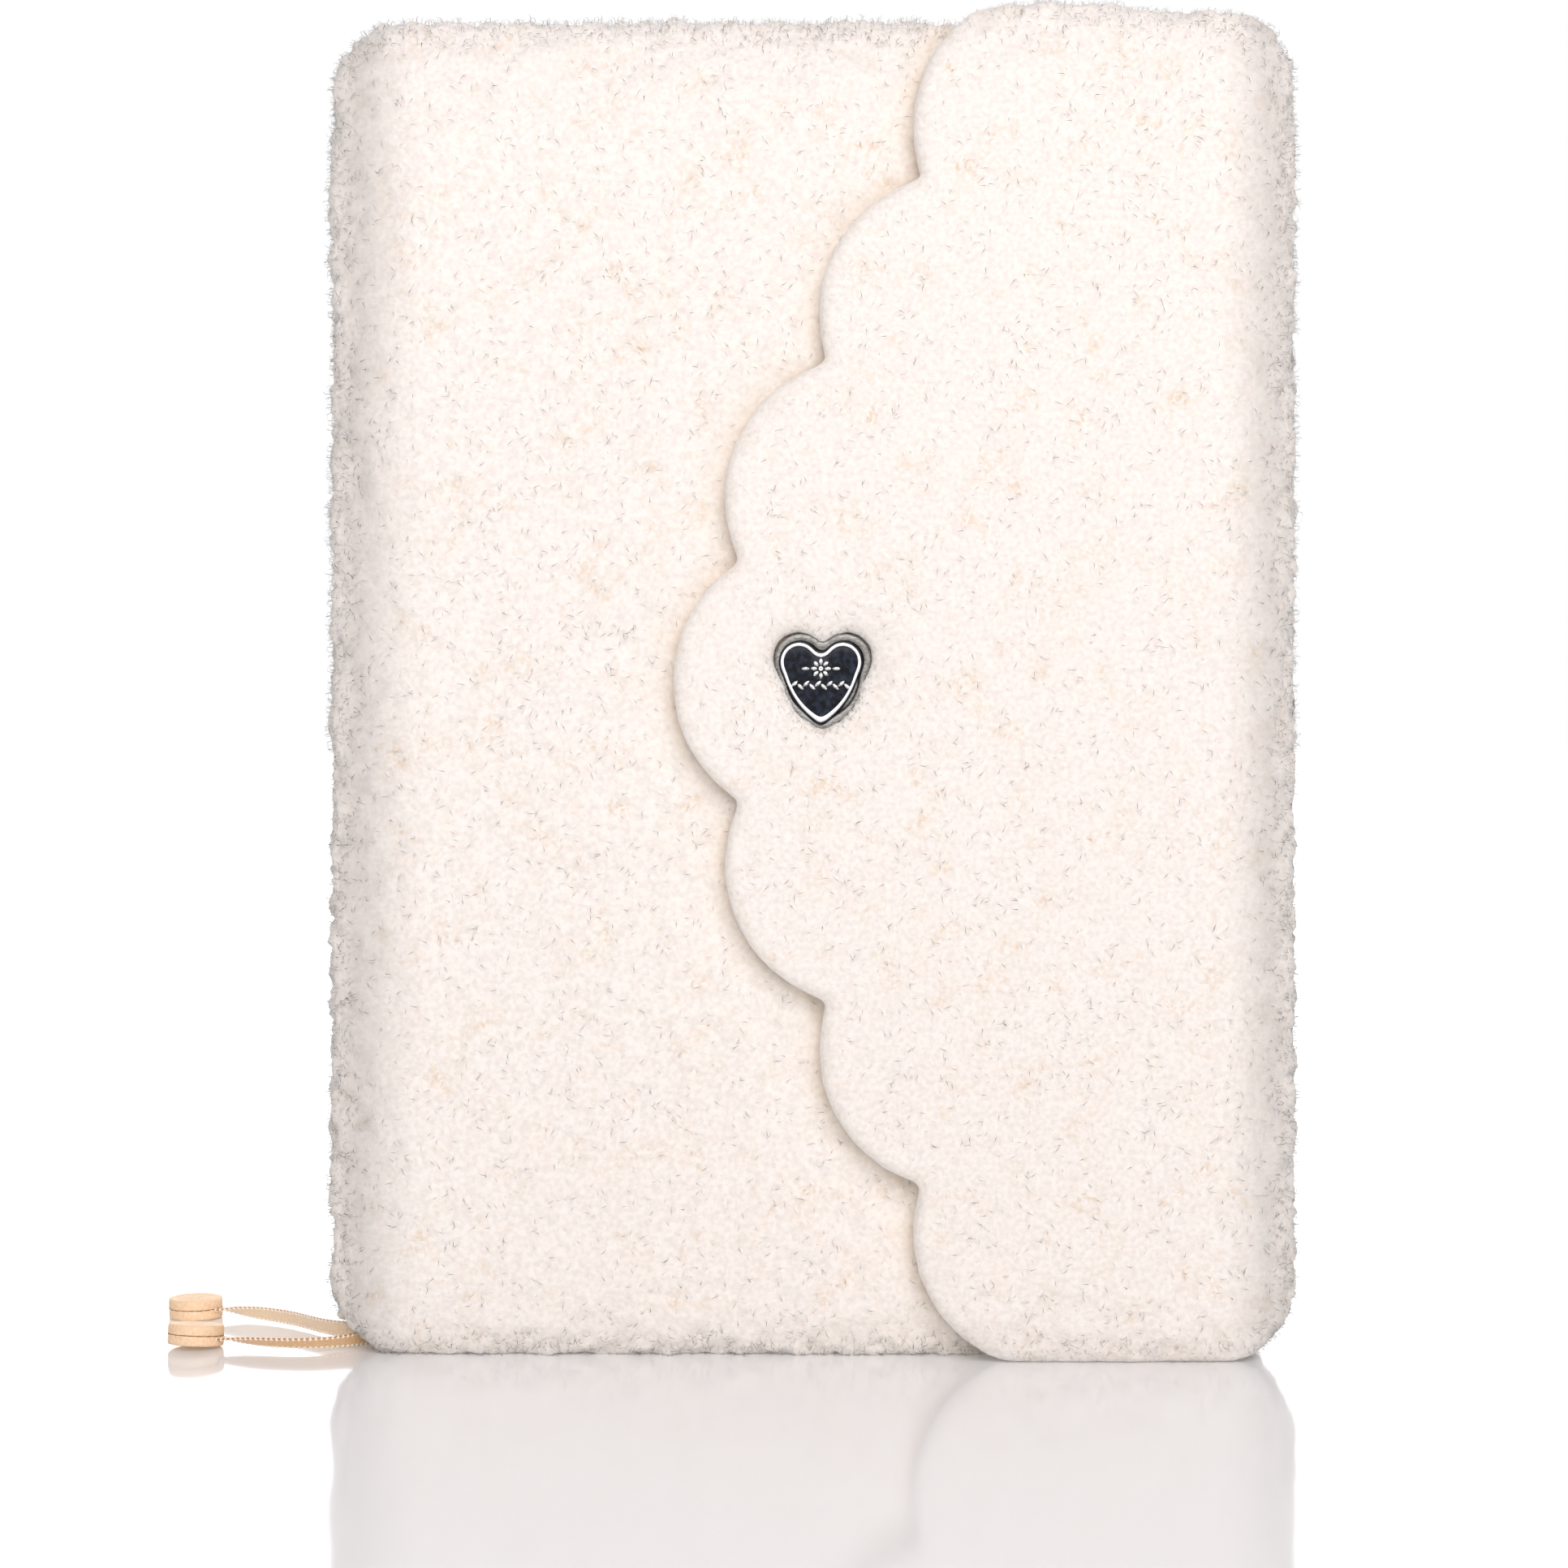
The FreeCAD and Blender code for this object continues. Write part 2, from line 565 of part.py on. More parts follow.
def make_motif(back):
    """A plain rosette: round petals about a middle boss."""
    ring_radius, boss_radius, petal_radius, depth, lift = 1.9, "0.85", "0.6", "0.35", 0.6
    middle_height = f"(Sizes.badge_height + {lift})"
    petals = [rod("motif_boss", boss_radius, depth, cell("badge_middle"), back, middle_height)]
    for index in range(MOTIF_PETALS):
        angle = 2 * math.pi * index / MOTIF_PETALS
        x = f"(Sizes.badge_middle + {ring_radius * math.cos(angle)})"
        z = f"({middle_height} + {ring_radius * math.sin(angle)})"
        petals.append(rod("motif_petal", petal_radius, depth, x, back, z))
    motif = doc.addObject("Part::Compound", "motif")
    motif.Links = petals
    keep(motif, "badge_motif")


# Bookmarks: limp ribbons that leave the tail of the block, stand on edge and end in leather tabs.

FLOOR_LINE = 1.7  # height of a ribbon's middle where it rests on its edge
FRONT_ROUTE = [
    (-63.5, 2.99, 7.0), (-63.5, 2.99, 4.0), (-65.8, 2.6, FLOOR_LINE), (-70.6, -1.4, FLOOR_LINE),
    (-77.6, -9.4, FLOOR_LINE), (-87.5, -9.9, FLOOR_LINE), (-96.6, -5.6, FLOOR_LINE),
]
FRONT_TAB = (-101.0, -4.4)
BACK_ROUTE = [
    (-63.5, 6.45, 7.0), (-63.5, 6.45, 4.0), (-65.8, 6.3, FLOOR_LINE), (-71.5, 2.4, FLOOR_LINE),
    (-78.4, 1.8, FLOOR_LINE), (-90.5, 17.6, FLOOR_LINE), (-101.2, 21.8, FLOOR_LINE),
]
BACK_TAB = (-105.6, 23.8)


def rounded_path(points, name):
    """Straight runs joined by the largest tangent arcs that the runs leave room for."""
    points = [FreeCAD.Vector(*point) for point in points]
    edges = []
    start = points[0]
    radii = []
    for before, corner, after in zip(points, points[1:], points[2:]):
        back = before - corner
        ahead = after - corner
        reach = 0.45 * min(back.Length, ahead.Length)
        turn = math.pi - back.getAngle(ahead)
        radii.append(reach / math.tan(turn / 2))
        back.normalize()
        ahead.normalize()
        enter = corner + back * reach
        leave = corner + ahead * reach
        inward = back + ahead
        inward.normalize()
        gap = radii[-1] / math.cos(turn / 2) - radii[-1]
        edges.append(Part.LineSegment(start, enter).toShape())
        edges.append(Part.Arc(enter, corner + inward * gap, leave).toShape())
        start = leave
    edges.append(Part.LineSegment(start, points[-1]).toShape())
    print(name, "radii", [round(radius, 1) for radius in radii])
    return Part.Wire(edges)


def make_ribbon(name, points):
    """A flat band swept along its route, its width across the page at the block and upright beyond."""
    path = rounded_path(points, name)
    width = size("ribbon_width")
    depth = size("ribbon_depth")
    start = FreeCAD.Vector(*points[0])
    corners = [start + FreeCAD.Vector(x * width / 2, y * depth / 2, 0)
               for x, y in ((-1, -1), (1, -1), (1, 1), (-1, 1))]
    profile = Part.makePolygon(corners + corners[:1])
    band = path.makePipeShell([profile], True, False)
    expected = width * depth * path.Length
    print(name, "length", round(path.Length, 2), "volume", round(band.Volume, 2), "of", round(expected, 2))
    item = doc.addObject("Part::Feature", name)
    item.Shape = band
    keep(item, name)


def make_tab(name, middle):
    """Two round leather layers, one each side of the ribbon's end."""
    top_foot = "(Sizes.tab_foot + Sizes.tab_layer + Sizes.tab_seam)"
    for layer, foot in (("base", cell("tab_foot")), ("top", top_foot)):
        disc = doc.addObject("Part::Cylinder", f"{name}_{layer}")
        disc.setExpression("Radius", cell("tab_radius"))
        disc.setExpression("Height", cell("tab_layer"))
        place(disc, str(middle[0]), str(middle[1]), foot)
        keep(disc, f"{name}_{layer}")


def write_parts():
    doc.recompute()
    for item in doc.Objects:
        if "Invalid" in item.State or "Error" in item.State:
            raise RuntimeError(f"{item.Label} failed: {item.State}")
    os.makedirs("parts", exist_ok=True)
    for item in sub_parts:
        if item.Shape.isNull() or not item.Shape.isValid():
            raise RuntimeError(f"{item.Label} has no valid shape")
        item.Shape.exportStep(f"parts/{item.Label}.step")
        box = item.Shape.BoundBox
        spans = [f"{low:.2f} {high:.2f}" for low, high in
                 ((box.XMin, box.XMax), (box.YMin, box.YMax), (box.ZMin, box.ZMax))]
        print(f"{item.Label:20s} {len(item.Shape.Solids):2d} solids {item.Shape.Volume:10.1f} mm3", *spans)


for number in range(SIGNATURES):
    make_signature(number)
make_endpapers()
make_spine_lining()
make_band("head_band", f"({block_foot} + Sizes.page_height + Sizes.band_radius + 0.05)",
          f"({block_foot} + Sizes.page_height - Sizes.band_drop)")
make_band("tail_band", f"({block_foot} - Sizes.band_radius - 0.05)",
          f"({block_foot} - 0.9 * Sizes.band_radius)")
make_inner_ribbon("front_ribbon_inner", FRONT_RIBBON_AFTER)
make_inner_ribbon("back_ribbon_inner", BACK_RIBBON_AFTER)

case_slab = outline_slab("case_outline", "0", cell("cover_height"))
wrap_slab = outline_slab("wrap_outline", cell("wrap_foot"), cell("wrap_height"))
make_board("front_board", front_board_inner, False, make_keeper())
make_board("back_board", back_board_inner, True)
make_foam("front_foam", f"({front_board_inner} - Sizes.board)", False)
make_foam("back_foam", f"({back_board_inner} + Sizes.board)", True)
make_cover_fleece("front_fleece", front_backing, False, cell("front_edge"), case_slab)
make_cover_fleece("back_fleece", back_backing, True, f"({fold_x} - Sizes.fold_clearance)", case_slab)
make_spine(case_slab)
make_wall(wrap_slab)
make_flap(wrap_slab)
make_badge()
make_ribbon("front_ribbon", FRONT_ROUTE)
make_ribbon("back_ribbon", BACK_ROUTE)
make_tab("front_tab", FRONT_TAB)
make_tab("back_tab", BACK_TAB)
write_parts()
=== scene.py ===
import math

import bmesh
import bpy
import numpy as np
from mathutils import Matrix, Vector


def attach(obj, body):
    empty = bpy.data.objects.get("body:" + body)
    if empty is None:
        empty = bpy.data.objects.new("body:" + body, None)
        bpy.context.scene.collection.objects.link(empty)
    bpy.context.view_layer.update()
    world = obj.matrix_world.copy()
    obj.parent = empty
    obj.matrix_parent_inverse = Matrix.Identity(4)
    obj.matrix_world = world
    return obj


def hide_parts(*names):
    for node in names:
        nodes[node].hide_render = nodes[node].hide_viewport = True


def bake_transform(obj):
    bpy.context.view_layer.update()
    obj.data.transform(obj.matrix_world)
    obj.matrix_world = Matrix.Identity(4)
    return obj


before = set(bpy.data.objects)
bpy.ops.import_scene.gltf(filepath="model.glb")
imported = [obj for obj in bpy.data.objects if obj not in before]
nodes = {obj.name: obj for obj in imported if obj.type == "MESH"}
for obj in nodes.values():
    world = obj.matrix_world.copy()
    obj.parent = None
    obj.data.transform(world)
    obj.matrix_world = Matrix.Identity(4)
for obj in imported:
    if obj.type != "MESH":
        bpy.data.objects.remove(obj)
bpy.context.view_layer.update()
mm = 0.001
print("frame loaded:", len(nodes), "nodes")


def linear(hexColour):
    # an sRGB hex colour as the linear colour that the shaders want
    parts = [int(hexColour[i:i + 2], 16) / 255 for i in (0, 2, 4)]
    return tuple(c / 12.92 if c <= 0.04045 else ((c + 0.055) / 1.055) ** 2.4 for c in parts) + (1.0,)


def addNode(tree, kind, settings=None, inputs=None):
    # a node with its settings; an input is a value or the output that feeds it
    node = tree.nodes.new(kind)
    for name, value in (settings or {}).items():
        setattr(node, name, value)
    for name, value in (inputs or {}).items():
        if isinstance(value, bpy.types.NodeSocket):
            tree.links.new(value, node.inputs[name])
        else:
            node.inputs[name].default_value = value
    return node


def smoothStep(low, high, value):
    # 0 below low, 1 above high, eased in between
    t = np.clip((value - low) / (high - low), 0, 1)
    return t * t * (3 - 2 * t)


def newPiece(name, points, faces, material=None, smooth=True):
    # an object at the origin with its place in its mesh
    mesh = bpy.data.meshes.new(name)
    mesh.from_pydata([tuple(p) for p in points], [], [tuple(f) for f in faces])
    mesh.shade_smooth() if smooth else mesh.shade_flat()
    piece = bpy.data.objects.new(name, mesh)
    bpy.context.scene.collection.objects.link(piece)
    if material:
        mesh.materials.append(material)
    return piece


def plainMesh(piece):
    # what the modifiers make, as a plain mesh on the same object
    bpy.context.view_layer.update()
    graph = bpy.context.evaluated_depsgraph_get()
    mesh = bpy.data.meshes.new_from_object(piece.evaluated_get(graph), preserve_all_data_layers=True,
                                           depsgraph=graph)
    piece.modifiers.clear()
    piece.data = mesh
    mesh.name = piece.name
    for slot in reversed(range(len(mesh.materials))):
        if mesh.materials[slot] is None:
            mesh.materials.pop(index=slot)
    return piece


def runNodes(piece, tree, values):
    # runs a tree on the piece, its inputs set by the sockets' identifiers, and keeps the plain mesh
    modifier = piece.modifiers.new(tree.name, "NODES")
    modifier.node_group = tree
    for item in tree.interface.items_tree:
        if item.item_type == "SOCKET" and item.in_out == "INPUT" and item.name in values:
            modifier[item.identifier] = values[item.name]
    return plainMesh(piece)


def newTree(name, sockets):
    # a Geometry Nodes tree with named inputs
    tree = bpy.data.node_groups.new(name, "GeometryNodeTree")
    tree.interface.new_socket("Geometry", in_out="OUTPUT", socket_type="NodeSocketGeometry")
    tree.interface.new_socket("Geometry", in_out="INPUT", socket_type="NodeSocketGeometry")
    for label, kind in sockets:
        tree.interface.new_socket(label, in_out="INPUT", socket_type=kind)
    return tree, tree.nodes.new("NodeGroupInput").outputs, tree.nodes.new("NodeGroupOutput").inputs


def vertexPlaces(mesh):
    flat = np.empty(len(mesh.vertices) * 3, np.float32)
    mesh.vertices.foreach_get("co", flat)
    return flat.reshape(-1, 3).astype(float)


def storeFloat(mesh, name, values):
    # one number for each vertex, under the name that the trees and materials read
    layer = mesh.attributes.get(name) or mesh.attributes.new(name, "FLOAT", "POINT")
    layer.data.foreach_set("value", np.asarray(values, np.float32))


def newMaterial(name):
    material = bpy.data.materials.new(name)
    material.use_nodes = True
    tree = material.node_tree
    return material, tree, tree.nodes["Principled BSDF"]


studio = {   # metres, watts and degrees
    "cameraPlace": (-0.0043, -0.5815, 0.1071), "lens": 80.67, "shiftUp": -0.0564,
    "keyPlace": (0.14, -1.5, 0.92), "keyAim": (0.0, 0.0, 0.11), "keySpan": 1.3, "keyPower": 23.1,
    "keyTint": (1.0, 0.935, 0.945), "backStrength": 1.8, "backSoftness": 110,
    "fill": 0.2, "mirrored": 1.5, "fillColour": "f6f9ff",
    "floorGlow": 0.1, "floorColour": "eaeaeb", "floorSpan": 6.0,
}


def makeStudio(s):
    # a level camera, one big soft lamp, a weak wide one from behind and a white room
    camera = bpy.data.objects.new("camera", bpy.data.cameras.new("camera"))
    camera.location = s["cameraPlace"]
    camera.rotation_euler = (math.radians(90), 0, 0)
    camera.data.lens = s["lens"]
    camera.data.sensor_width = 36
    camera.data.shift_y = s["shiftUp"]
    camera.data.clip_start = 0.01
    bpy.context.scene.collection.objects.link(camera)
    bpy.context.scene.camera = camera

    key = bpy.data.objects.new("key", bpy.data.lights.new("key", "AREA"))
    key.data.energy, key.data.size, key.data.color = s["keyPower"], s["keySpan"], s["keyTint"]
    key.location = s["keyPlace"]
    toward = Vector(s["keyPlace"]) - Vector(s["keyAim"])
    key.rotation_euler = toward.to_track_quat("Z", "Y").to_euler()
    back = bpy.data.objects.new("back", bpy.data.lights.new("back", "SUN"))
    back.data.energy, back.data.angle = s["backStrength"], math.radians(s["backSoftness"])
    back.rotation_euler = Vector((0.0, 0.9, 0.45)).to_track_quat("Z", "Y").to_euler()
    for light in (key, back):
        bpy.context.scene.collection.objects.link(light)

    # seen directly and in reflections the studio is white; it fills the shadows more weakly
    world = bpy.data.worlds.new("studioWhite")
    world.use_nodes = True
    bpy.context.scene.world = world
    tree = world.node_tree
    tree.nodes.clear()
    path = addNode(tree, "ShaderNodeLightPath")
    filled = addNode(tree, "ShaderNodeBackground", {},
                     {"Color": linear(s["fillColour"]), "Strength": s["fill"]})
    bright = addNode(tree, "ShaderNodeBackground", {}, {"Strength": s["mirrored"]})
    backdrop = addNode(tree, "ShaderNodeBackground", {}, {"Strength": 1.0})
    for white in (bright, backdrop):
        white.inputs["Color"].default_value = (1, 1, 1, 1)
    shading = filled
    for ray, light in (("Is Glossy Ray", bright), ("Is Camera Ray", backdrop)):
        shading = addNode(tree, "ShaderNodeMixShader", {},
                          {0: path.outputs[ray], 1: shading.outputs[0], 2: light.outputs[0]})
    addNode(tree, "ShaderNodeOutputWorld", {}, {"Surface": shading.outputs[0]})

    # opal acrylic, lit faintly from below: white, with a soft mirror image at a low angle
    material, tree, shader = newMaterial("opalAcrylic")
    shader.inputs["Base Color"].default_value = linear(s["floorColour"])
    shader.inputs["Roughness"].default_value = 0.09
    shader.inputs["IOR"].default_value = 1.45
    shader.inputs["Emission Color"].default_value = (1, 1, 1, 1)
    shader.inputs["Emission Strength"].default_value = s["floorGlow"]
    half = s["floorSpan"]
    floor = newPiece("floor", [(-half, -half, 0), (half, -half, 0), (half, half, 0), (-half, half, 0)],
                     [(0, 1, 2, 3)], material)
    bpy.context.scene.view_settings.view_transform = "Standard"


makeStudio(studio)
print("studio ready")


def satinMaterial(name, hexColour, hexShade, hexEdge, roughness):
    # satin: tight glossy weave with a darker selvedge
    material, tree, shader = newMaterial(name)
    place = addNode(tree, "ShaderNodeAttribute", {"attribute_name": "along"})
    stretched = addNode(tree, "ShaderNodeMapping", {},
                        {"Vector": place.outputs["Vector"], "Scale": (2600, 5200, 1)})
    grain = addNode(tree, "ShaderNodeTexNoise", {},
                    {"Vector": stretched.outputs[0], "Scale": 1.0, "Detail": 2.0})
    speckle = addNode(tree, "ShaderNodeMapRange", {},
                      {"Value": grain.outputs["Fac"], "From Min": 0.35, "From Max": 0.65})
    colour = addNode(tree, "ShaderNodeMix", {"data_type": "RGBA"}, {"Factor": speckle.outputs[0]})
    colour.inputs[6].default_value = linear(hexShade)
    colour.inputs[7].default_value = linear(hexColour)
    parts = addNode(tree, "ShaderNodeSeparateXYZ", {}, {0: place.outputs["Vector"]})
    across = addNode(tree, "ShaderNodeMath", {"operation": "ABSOLUTE"}, {0: parts.outputs["Y"]})
    edge = addNode(tree, "ShaderNodeMapRange", {},
                   {"Value": across.outputs[0], "From Min": 1.25 * mm, "From Max": 1.43 * mm})
    woven = addNode(tree, "ShaderNodeMix", {"data_type": "RGBA"},
                    {"Factor": edge.outputs[0], 6: colour.outputs[2]})
    woven.inputs[7].default_value = linear(hexEdge)
    tree.links.new(woven.outputs[2], shader.inputs["Base Color"])
    bump = addNode(tree, "ShaderNodeBump", {},
                   {"Height": grain.outputs["Fac"], "Strength": 0.35, "Distance": 0.00006})
    tree.links.new(bump.outputs[0], shader.inputs["Normal"])
    shader.inputs["Roughness"].default_value = roughness
    shader.inputs["Sheen Weight"].default_value = 0.3
    return material


def patternedMaterial(name, light, dark, grainSize, roughness, bumpDepth, stretch=(1, 1, 1)):
    # two tones of one finish, mixed by a grain of the given size in metres, which also roughens the surface
    material, tree, shader = newMaterial(name)
    place = addNode(tree, "ShaderNodeTexCoord")
    scale = tuple(share / grainSize for share in stretch)
    mapping = addNode(tree, "ShaderNodeMapping", {}, {"Vector": place.outputs["Object"], "Scale": scale})
    grain = addNode(tree, "ShaderNodeTexNoise", {},
                    {"Vector": mapping.outputs[0], "Scale": 1.0, "Detail": 4.0})
    sharper = addNode(tree, "ShaderNodeMapRange", {},
                      {"Value": grain.outputs["Fac"], "From Min": 0.25, "From Max": 0.75})
    colour = addNode(tree, "ShaderNodeMix", {"data_type": "RGBA"}, {"Factor": sharper.outputs[0]})
    colour.inputs[6].default_value = linear(dark)
    colour.inputs[7].default_value = linear(light)
    tree.links.new(colour.outputs[2], shader.inputs["Base Color"])
    bump = addNode(tree, "ShaderNodeBump", {},
                   {"Height": sharper.outputs[0], "Strength": 0.6, "Distance": bumpDepth})
    tree.links.new(bump.outputs[0], shader.inputs["Normal"])
    shader.inputs["Roughness"].default_value = roughness
    return material


def wovenMaterial(name, light, dark, thread, roughness):
    # plain weave: warp and weft as two crossed waves, one thread apart
    material, tree, shader = newMaterial(name)
    place = addNode(tree, "ShaderNodeTexCoord")
    parts = addNode(tree, "ShaderNodeSeparateXYZ", {}, {0: place.outputs["Object"]})
    waves = []
    across = addNode(tree, "ShaderNodeMath", {"operation": "ADD"},
                     {0: parts.outputs["X"], 1: parts.outputs["Y"]})
    for source in (across.outputs[0], parts.outputs["Z"]):
        turn = addNode(tree, "ShaderNodeMath", {"operation": "MULTIPLY"}, {0: source, 1: math.pi / thread})
        waves.append(addNode(tree, "ShaderNodeMath", {"operation": "SINE"},
                             {0: turn.outputs[0]}).outputs[0])
    cross = addNode(tree, "ShaderNodeMath", {"operation": "MULTIPLY"}, {0: waves[0], 1: waves[1]})
    height = addNode(tree, "ShaderNodeMapRange", {},
                     {"Value": cross.outputs[0], "From Min": -1.0, "From Max": 1.0})
    slub = addNode(tree, "ShaderNodeTexNoise", {},
                   {"Vector": place.outputs["Object"], "Scale": 700.0, "Detail": 3.0})
    mixed = addNode(tree, "ShaderNodeMath", {"operation": "MULTIPLY"},
                    {0: height.outputs[0], 1: slub.outputs["Fac"]})
    colour = addNode(tree, "ShaderNodeMix", {"data_type": "RGBA"}, {"Factor": mixed.outputs[0]})
    colour.inputs[6].default_value = linear(dark)
    colour.inputs[7].default_value = linear(light)
    tree.links.new(colour.outputs[2], shader.inputs["Base Color"])
    bump = addNode(tree, "ShaderNodeBump", {},
                   {"Height": height.outputs[0], "Strength": 0.7, "Distance": thread / 5})
    tree.links.new(bump.outputs[0], shader.inputs["Normal"])
    shader.inputs["Roughness"].default_value = roughness
    shader.inputs["Sheen Weight"].default_value = 0.2
    return material


def metalMaterial(name, hexColour, hexDark, roughness, streak, streakDepth, across=(400, 6000, 6000)):
    # metal with fine hairlines or grain, so many to the metre along each axis
    material, tree, shader = newMaterial(name)
    place = addNode(tree, "ShaderNodeTexCoord")
    mapping = addNode(tree, "ShaderNodeMapping", {}, {"Vector": place.outputs["Object"], "Scale": across})
    lines = addNode(tree, "ShaderNodeTexNoise", {},
                    {"Vector": mapping.outputs[0], "Scale": 1.0, "Detail": 3.0})
    rough = addNode(tree, "ShaderNodeMapRange", {}, {"Value": lines.outputs["Fac"],
                    "To Min": roughness - streak, "To Max": roughness + streak})
    tree.links.new(rough.outputs[0], shader.inputs["Roughness"])
    bump = addNode(tree, "ShaderNodeBump", {},
                   {"Height": lines.outputs["Fac"], "Strength": 0.3, "Distance": streakDepth})
    tree.links.new(bump.outputs[0], shader.inputs["Normal"])
    tone = addNode(tree, "ShaderNodeMapRange", {},
                   {"Value": lines.outputs["Fac"], "From Min": 0.35, "From Max": 0.65})
    colour = addNode(tree, "ShaderNodeMix", {"data_type": "RGBA"}, {"Factor": tone.outputs[0]})
    colour.inputs[6].default_value = linear(hexDark)
    colour.inputs[7].default_value = linear(hexColour)
    tree.links.new(colour.outputs[2], shader.inputs["Base Color"])
    shader.inputs["Metallic"].default_value = 1.0
    return material


def enamelMaterial(name, hexColour, hexCloud):
    # polished black metal under a clear coat: a near-black mirror with faint cloudy depth
    material, tree, shader = newMaterial(name)
    place = addNode(tree, "ShaderNodeTexCoord")
    cloud = addNode(tree, "ShaderNodeTexNoise", {},
                    {"Vector": place.outputs["Object"], "Scale": 1100.0, "Detail": 5.0})
    depth = addNode(tree, "ShaderNodeMapRange", {},
                    {"Value": cloud.outputs["Fac"], "From Min": 0.42, "From Max": 0.68})
    colour = addNode(tree, "ShaderNodeMix", {"data_type": "RGBA"}, {"Factor": depth.outputs[0]})
    colour.inputs[6].default_value = linear(hexColour)
    colour.inputs[7].default_value = linear(hexCloud)
    tree.links.new(colour.outputs[2], shader.inputs["Base Color"])
    rough = addNode(tree, "ShaderNodeMapRange", {},
                    {"Value": cloud.outputs["Fac"], "To Min": 0.12, "To Max": 0.28})
    tree.links.new(rough.outputs[0], shader.inputs["Roughness"])
    shader.inputs["Specular IOR Level"].default_value = 0.12
    return material


fleeceLook = {
    "pile": "f9f4ed", "shade": "ede7df", "tan": "ddbf94",
    "lock": 0.85 * mm, "cloud": 6.5 * mm, "curlMark": 1.5 * mm, "fleckShare": 0.62, "softReach": 1.1 * mm,
    # the grey of the painted shade towards the book's edges
    "rim": "b9b6b0",
}


def makeFleeceMaterial(look):
    # polyester sherpa: bright curled locks, the woven ground showing tan in the hollows between them;
    # the locks are drawn about twice as coarse as their fibres so that they show
    material, tree, shader = newMaterial("sherpaFleece")
    place = addNode(tree, "ShaderNodeAttribute", {"attribute_name": "restPlace"})
    hollow = addNode(tree, "ShaderNodeAttribute", {"attribute_name": "hollow"})
    # the share of painted edge shade, stored on the mesh
    rim = addNode(tree, "ShaderNodeAttribute", {"attribute_name": "rim"})
    cloud = addNode(tree, "ShaderNodeTexNoise", {}, {"Vector": place.outputs["Vector"],
                    "Scale": 1 / look["cloud"], "Detail": 3.0, "Roughness": 0.6})
    patch = addNode(tree, "ShaderNodeMapRange", {},
                    {"Value": cloud.outputs["Fac"], "From Min": 0.5, "From Max": 0.7})
    marks = addNode(tree, "ShaderNodeTexNoise", {},
                    {"Vector": place.outputs["Vector"], "Scale": 1 / look["curlMark"],
                    "Detail": 3.0, "Roughness": 0.55, "Distortion": 1.6})
    mark = addNode(tree, "ShaderNodeMapRange", {},
                   {"Value": marks.outputs["Fac"], "From Min": 0.46, "From Max": 0.64,
                   "To Max": look["fleckShare"]})
    inHollow = addNode(tree, "ShaderNodeMath", {"operation": "MULTIPLY_ADD"},
                       {0: hollow.outputs["Fac"], 1: 0.75, 2: 0.25})
    marked = addNode(tree, "ShaderNodeMath", {"operation": "MULTIPLY"},
                     {0: patch.outputs[0], 1: mark.outputs[0]})
    sparse = addNode(tree, "ShaderNodeMath", {"operation": "MULTIPLY"},
                     {0: marked.outputs[0], 1: inHollow.outputs[0]})
    # painted shadow, tinted tan and mottled by the cloud noise, along the flap's edge on the cover
    warm = addNode(tree, "ShaderNodeAttribute", {"attribute_name": "warm"})
    pressed = addNode(tree, "ShaderNodeMath", {"operation": "MULTIPLY"},
                      {0: warm.outputs["Fac"], 1: cloud.outputs["Fac"]})
    tanGroundAndFlapShadow = addNode(tree, "ShaderNodeMath", {"operation": "MAXIMUM"},
                    {0: sparse.outputs[0], 1: pressed.outputs[0]})
    grain = addNode(tree, "ShaderNodeTexNoise", {}, {"Vector": place.outputs["Vector"],
                    "Scale": 1 / look["lock"], "Detail": 3.0})
    fibre = addNode(tree, "ShaderNodeMapRange", {},
                    {"Value": grain.outputs["Fac"], "From Min": 0.32, "From Max": 0.62})
    body = addNode(tree, "ShaderNodeMix", {"data_type": "RGBA"}, {"Factor": fibre.outputs[0]})
    body.inputs[6].default_value = linear(look["shade"])
    body.inputs[7].default_value = linear(look["pile"])
    # tan for the ground showing in the hollows, and for the painted shadow along the flap's edge
    colour = addNode(tree, "ShaderNodeMix", {"data_type": "RGBA"},
                     {"Factor": tanGroundAndFlapShadow.outputs[0], 6: body.outputs[2]})
    colour.inputs[7].default_value = linear(look["tan"])
    # painted shade: towards the book's edges the pile's colour is mixed towards a mottled grey, standing
    # for the light falling off where the cloth turns away
    shadeMottle = addNode(tree, "ShaderNodeMath", {"operation": "MULTIPLY_ADD"},
                   {0: cloud.outputs["Fac"], 1: 0.9, 2: 0.55})
    rimShadeShare = addNode(tree, "ShaderNodeMath", {"operation": "MULTIPLY", "use_clamp": True},
                      {0: shadeMottle.outputs[0], 1: rim.outputs["Fac"]})
    rimShaded = addNode(tree, "ShaderNodeMix", {"data_type": "RGBA"},
                    {"Factor": rimShadeShare.outputs[0], 6: colour.outputs[2]})
    rimShaded.inputs[7].default_value = linear(look["rim"])
    tree.links.new(rimShaded.outputs[2], shader.inputs["Base Color"])
    bump = addNode(tree, "ShaderNodeBump", {},
                   {"Height": grain.outputs["Fac"], "Strength": 0.5, "Distance": 0.0003})
    tree.links.new(bump.outputs[0], shader.inputs["Normal"])
    shader.inputs["Roughness"].default_value = 0.95
    shader.inputs["Specular IOR Level"].default_value = 0.15
    shader.inputs["Sheen Weight"].default_value = 0.25
    shader.inputs["Sheen Roughness"].default_value = 0.5
    shader.inputs["Subsurface Weight"].default_value = 0.35
    shader.inputs["Subsurface Radius"].default_value = (1.0, 0.85, 0.7)
    shader.inputs["Subsurface Scale"].default_value = look["softReach"]
    return material


fleece = makeFleeceMaterial(fleeceLook)
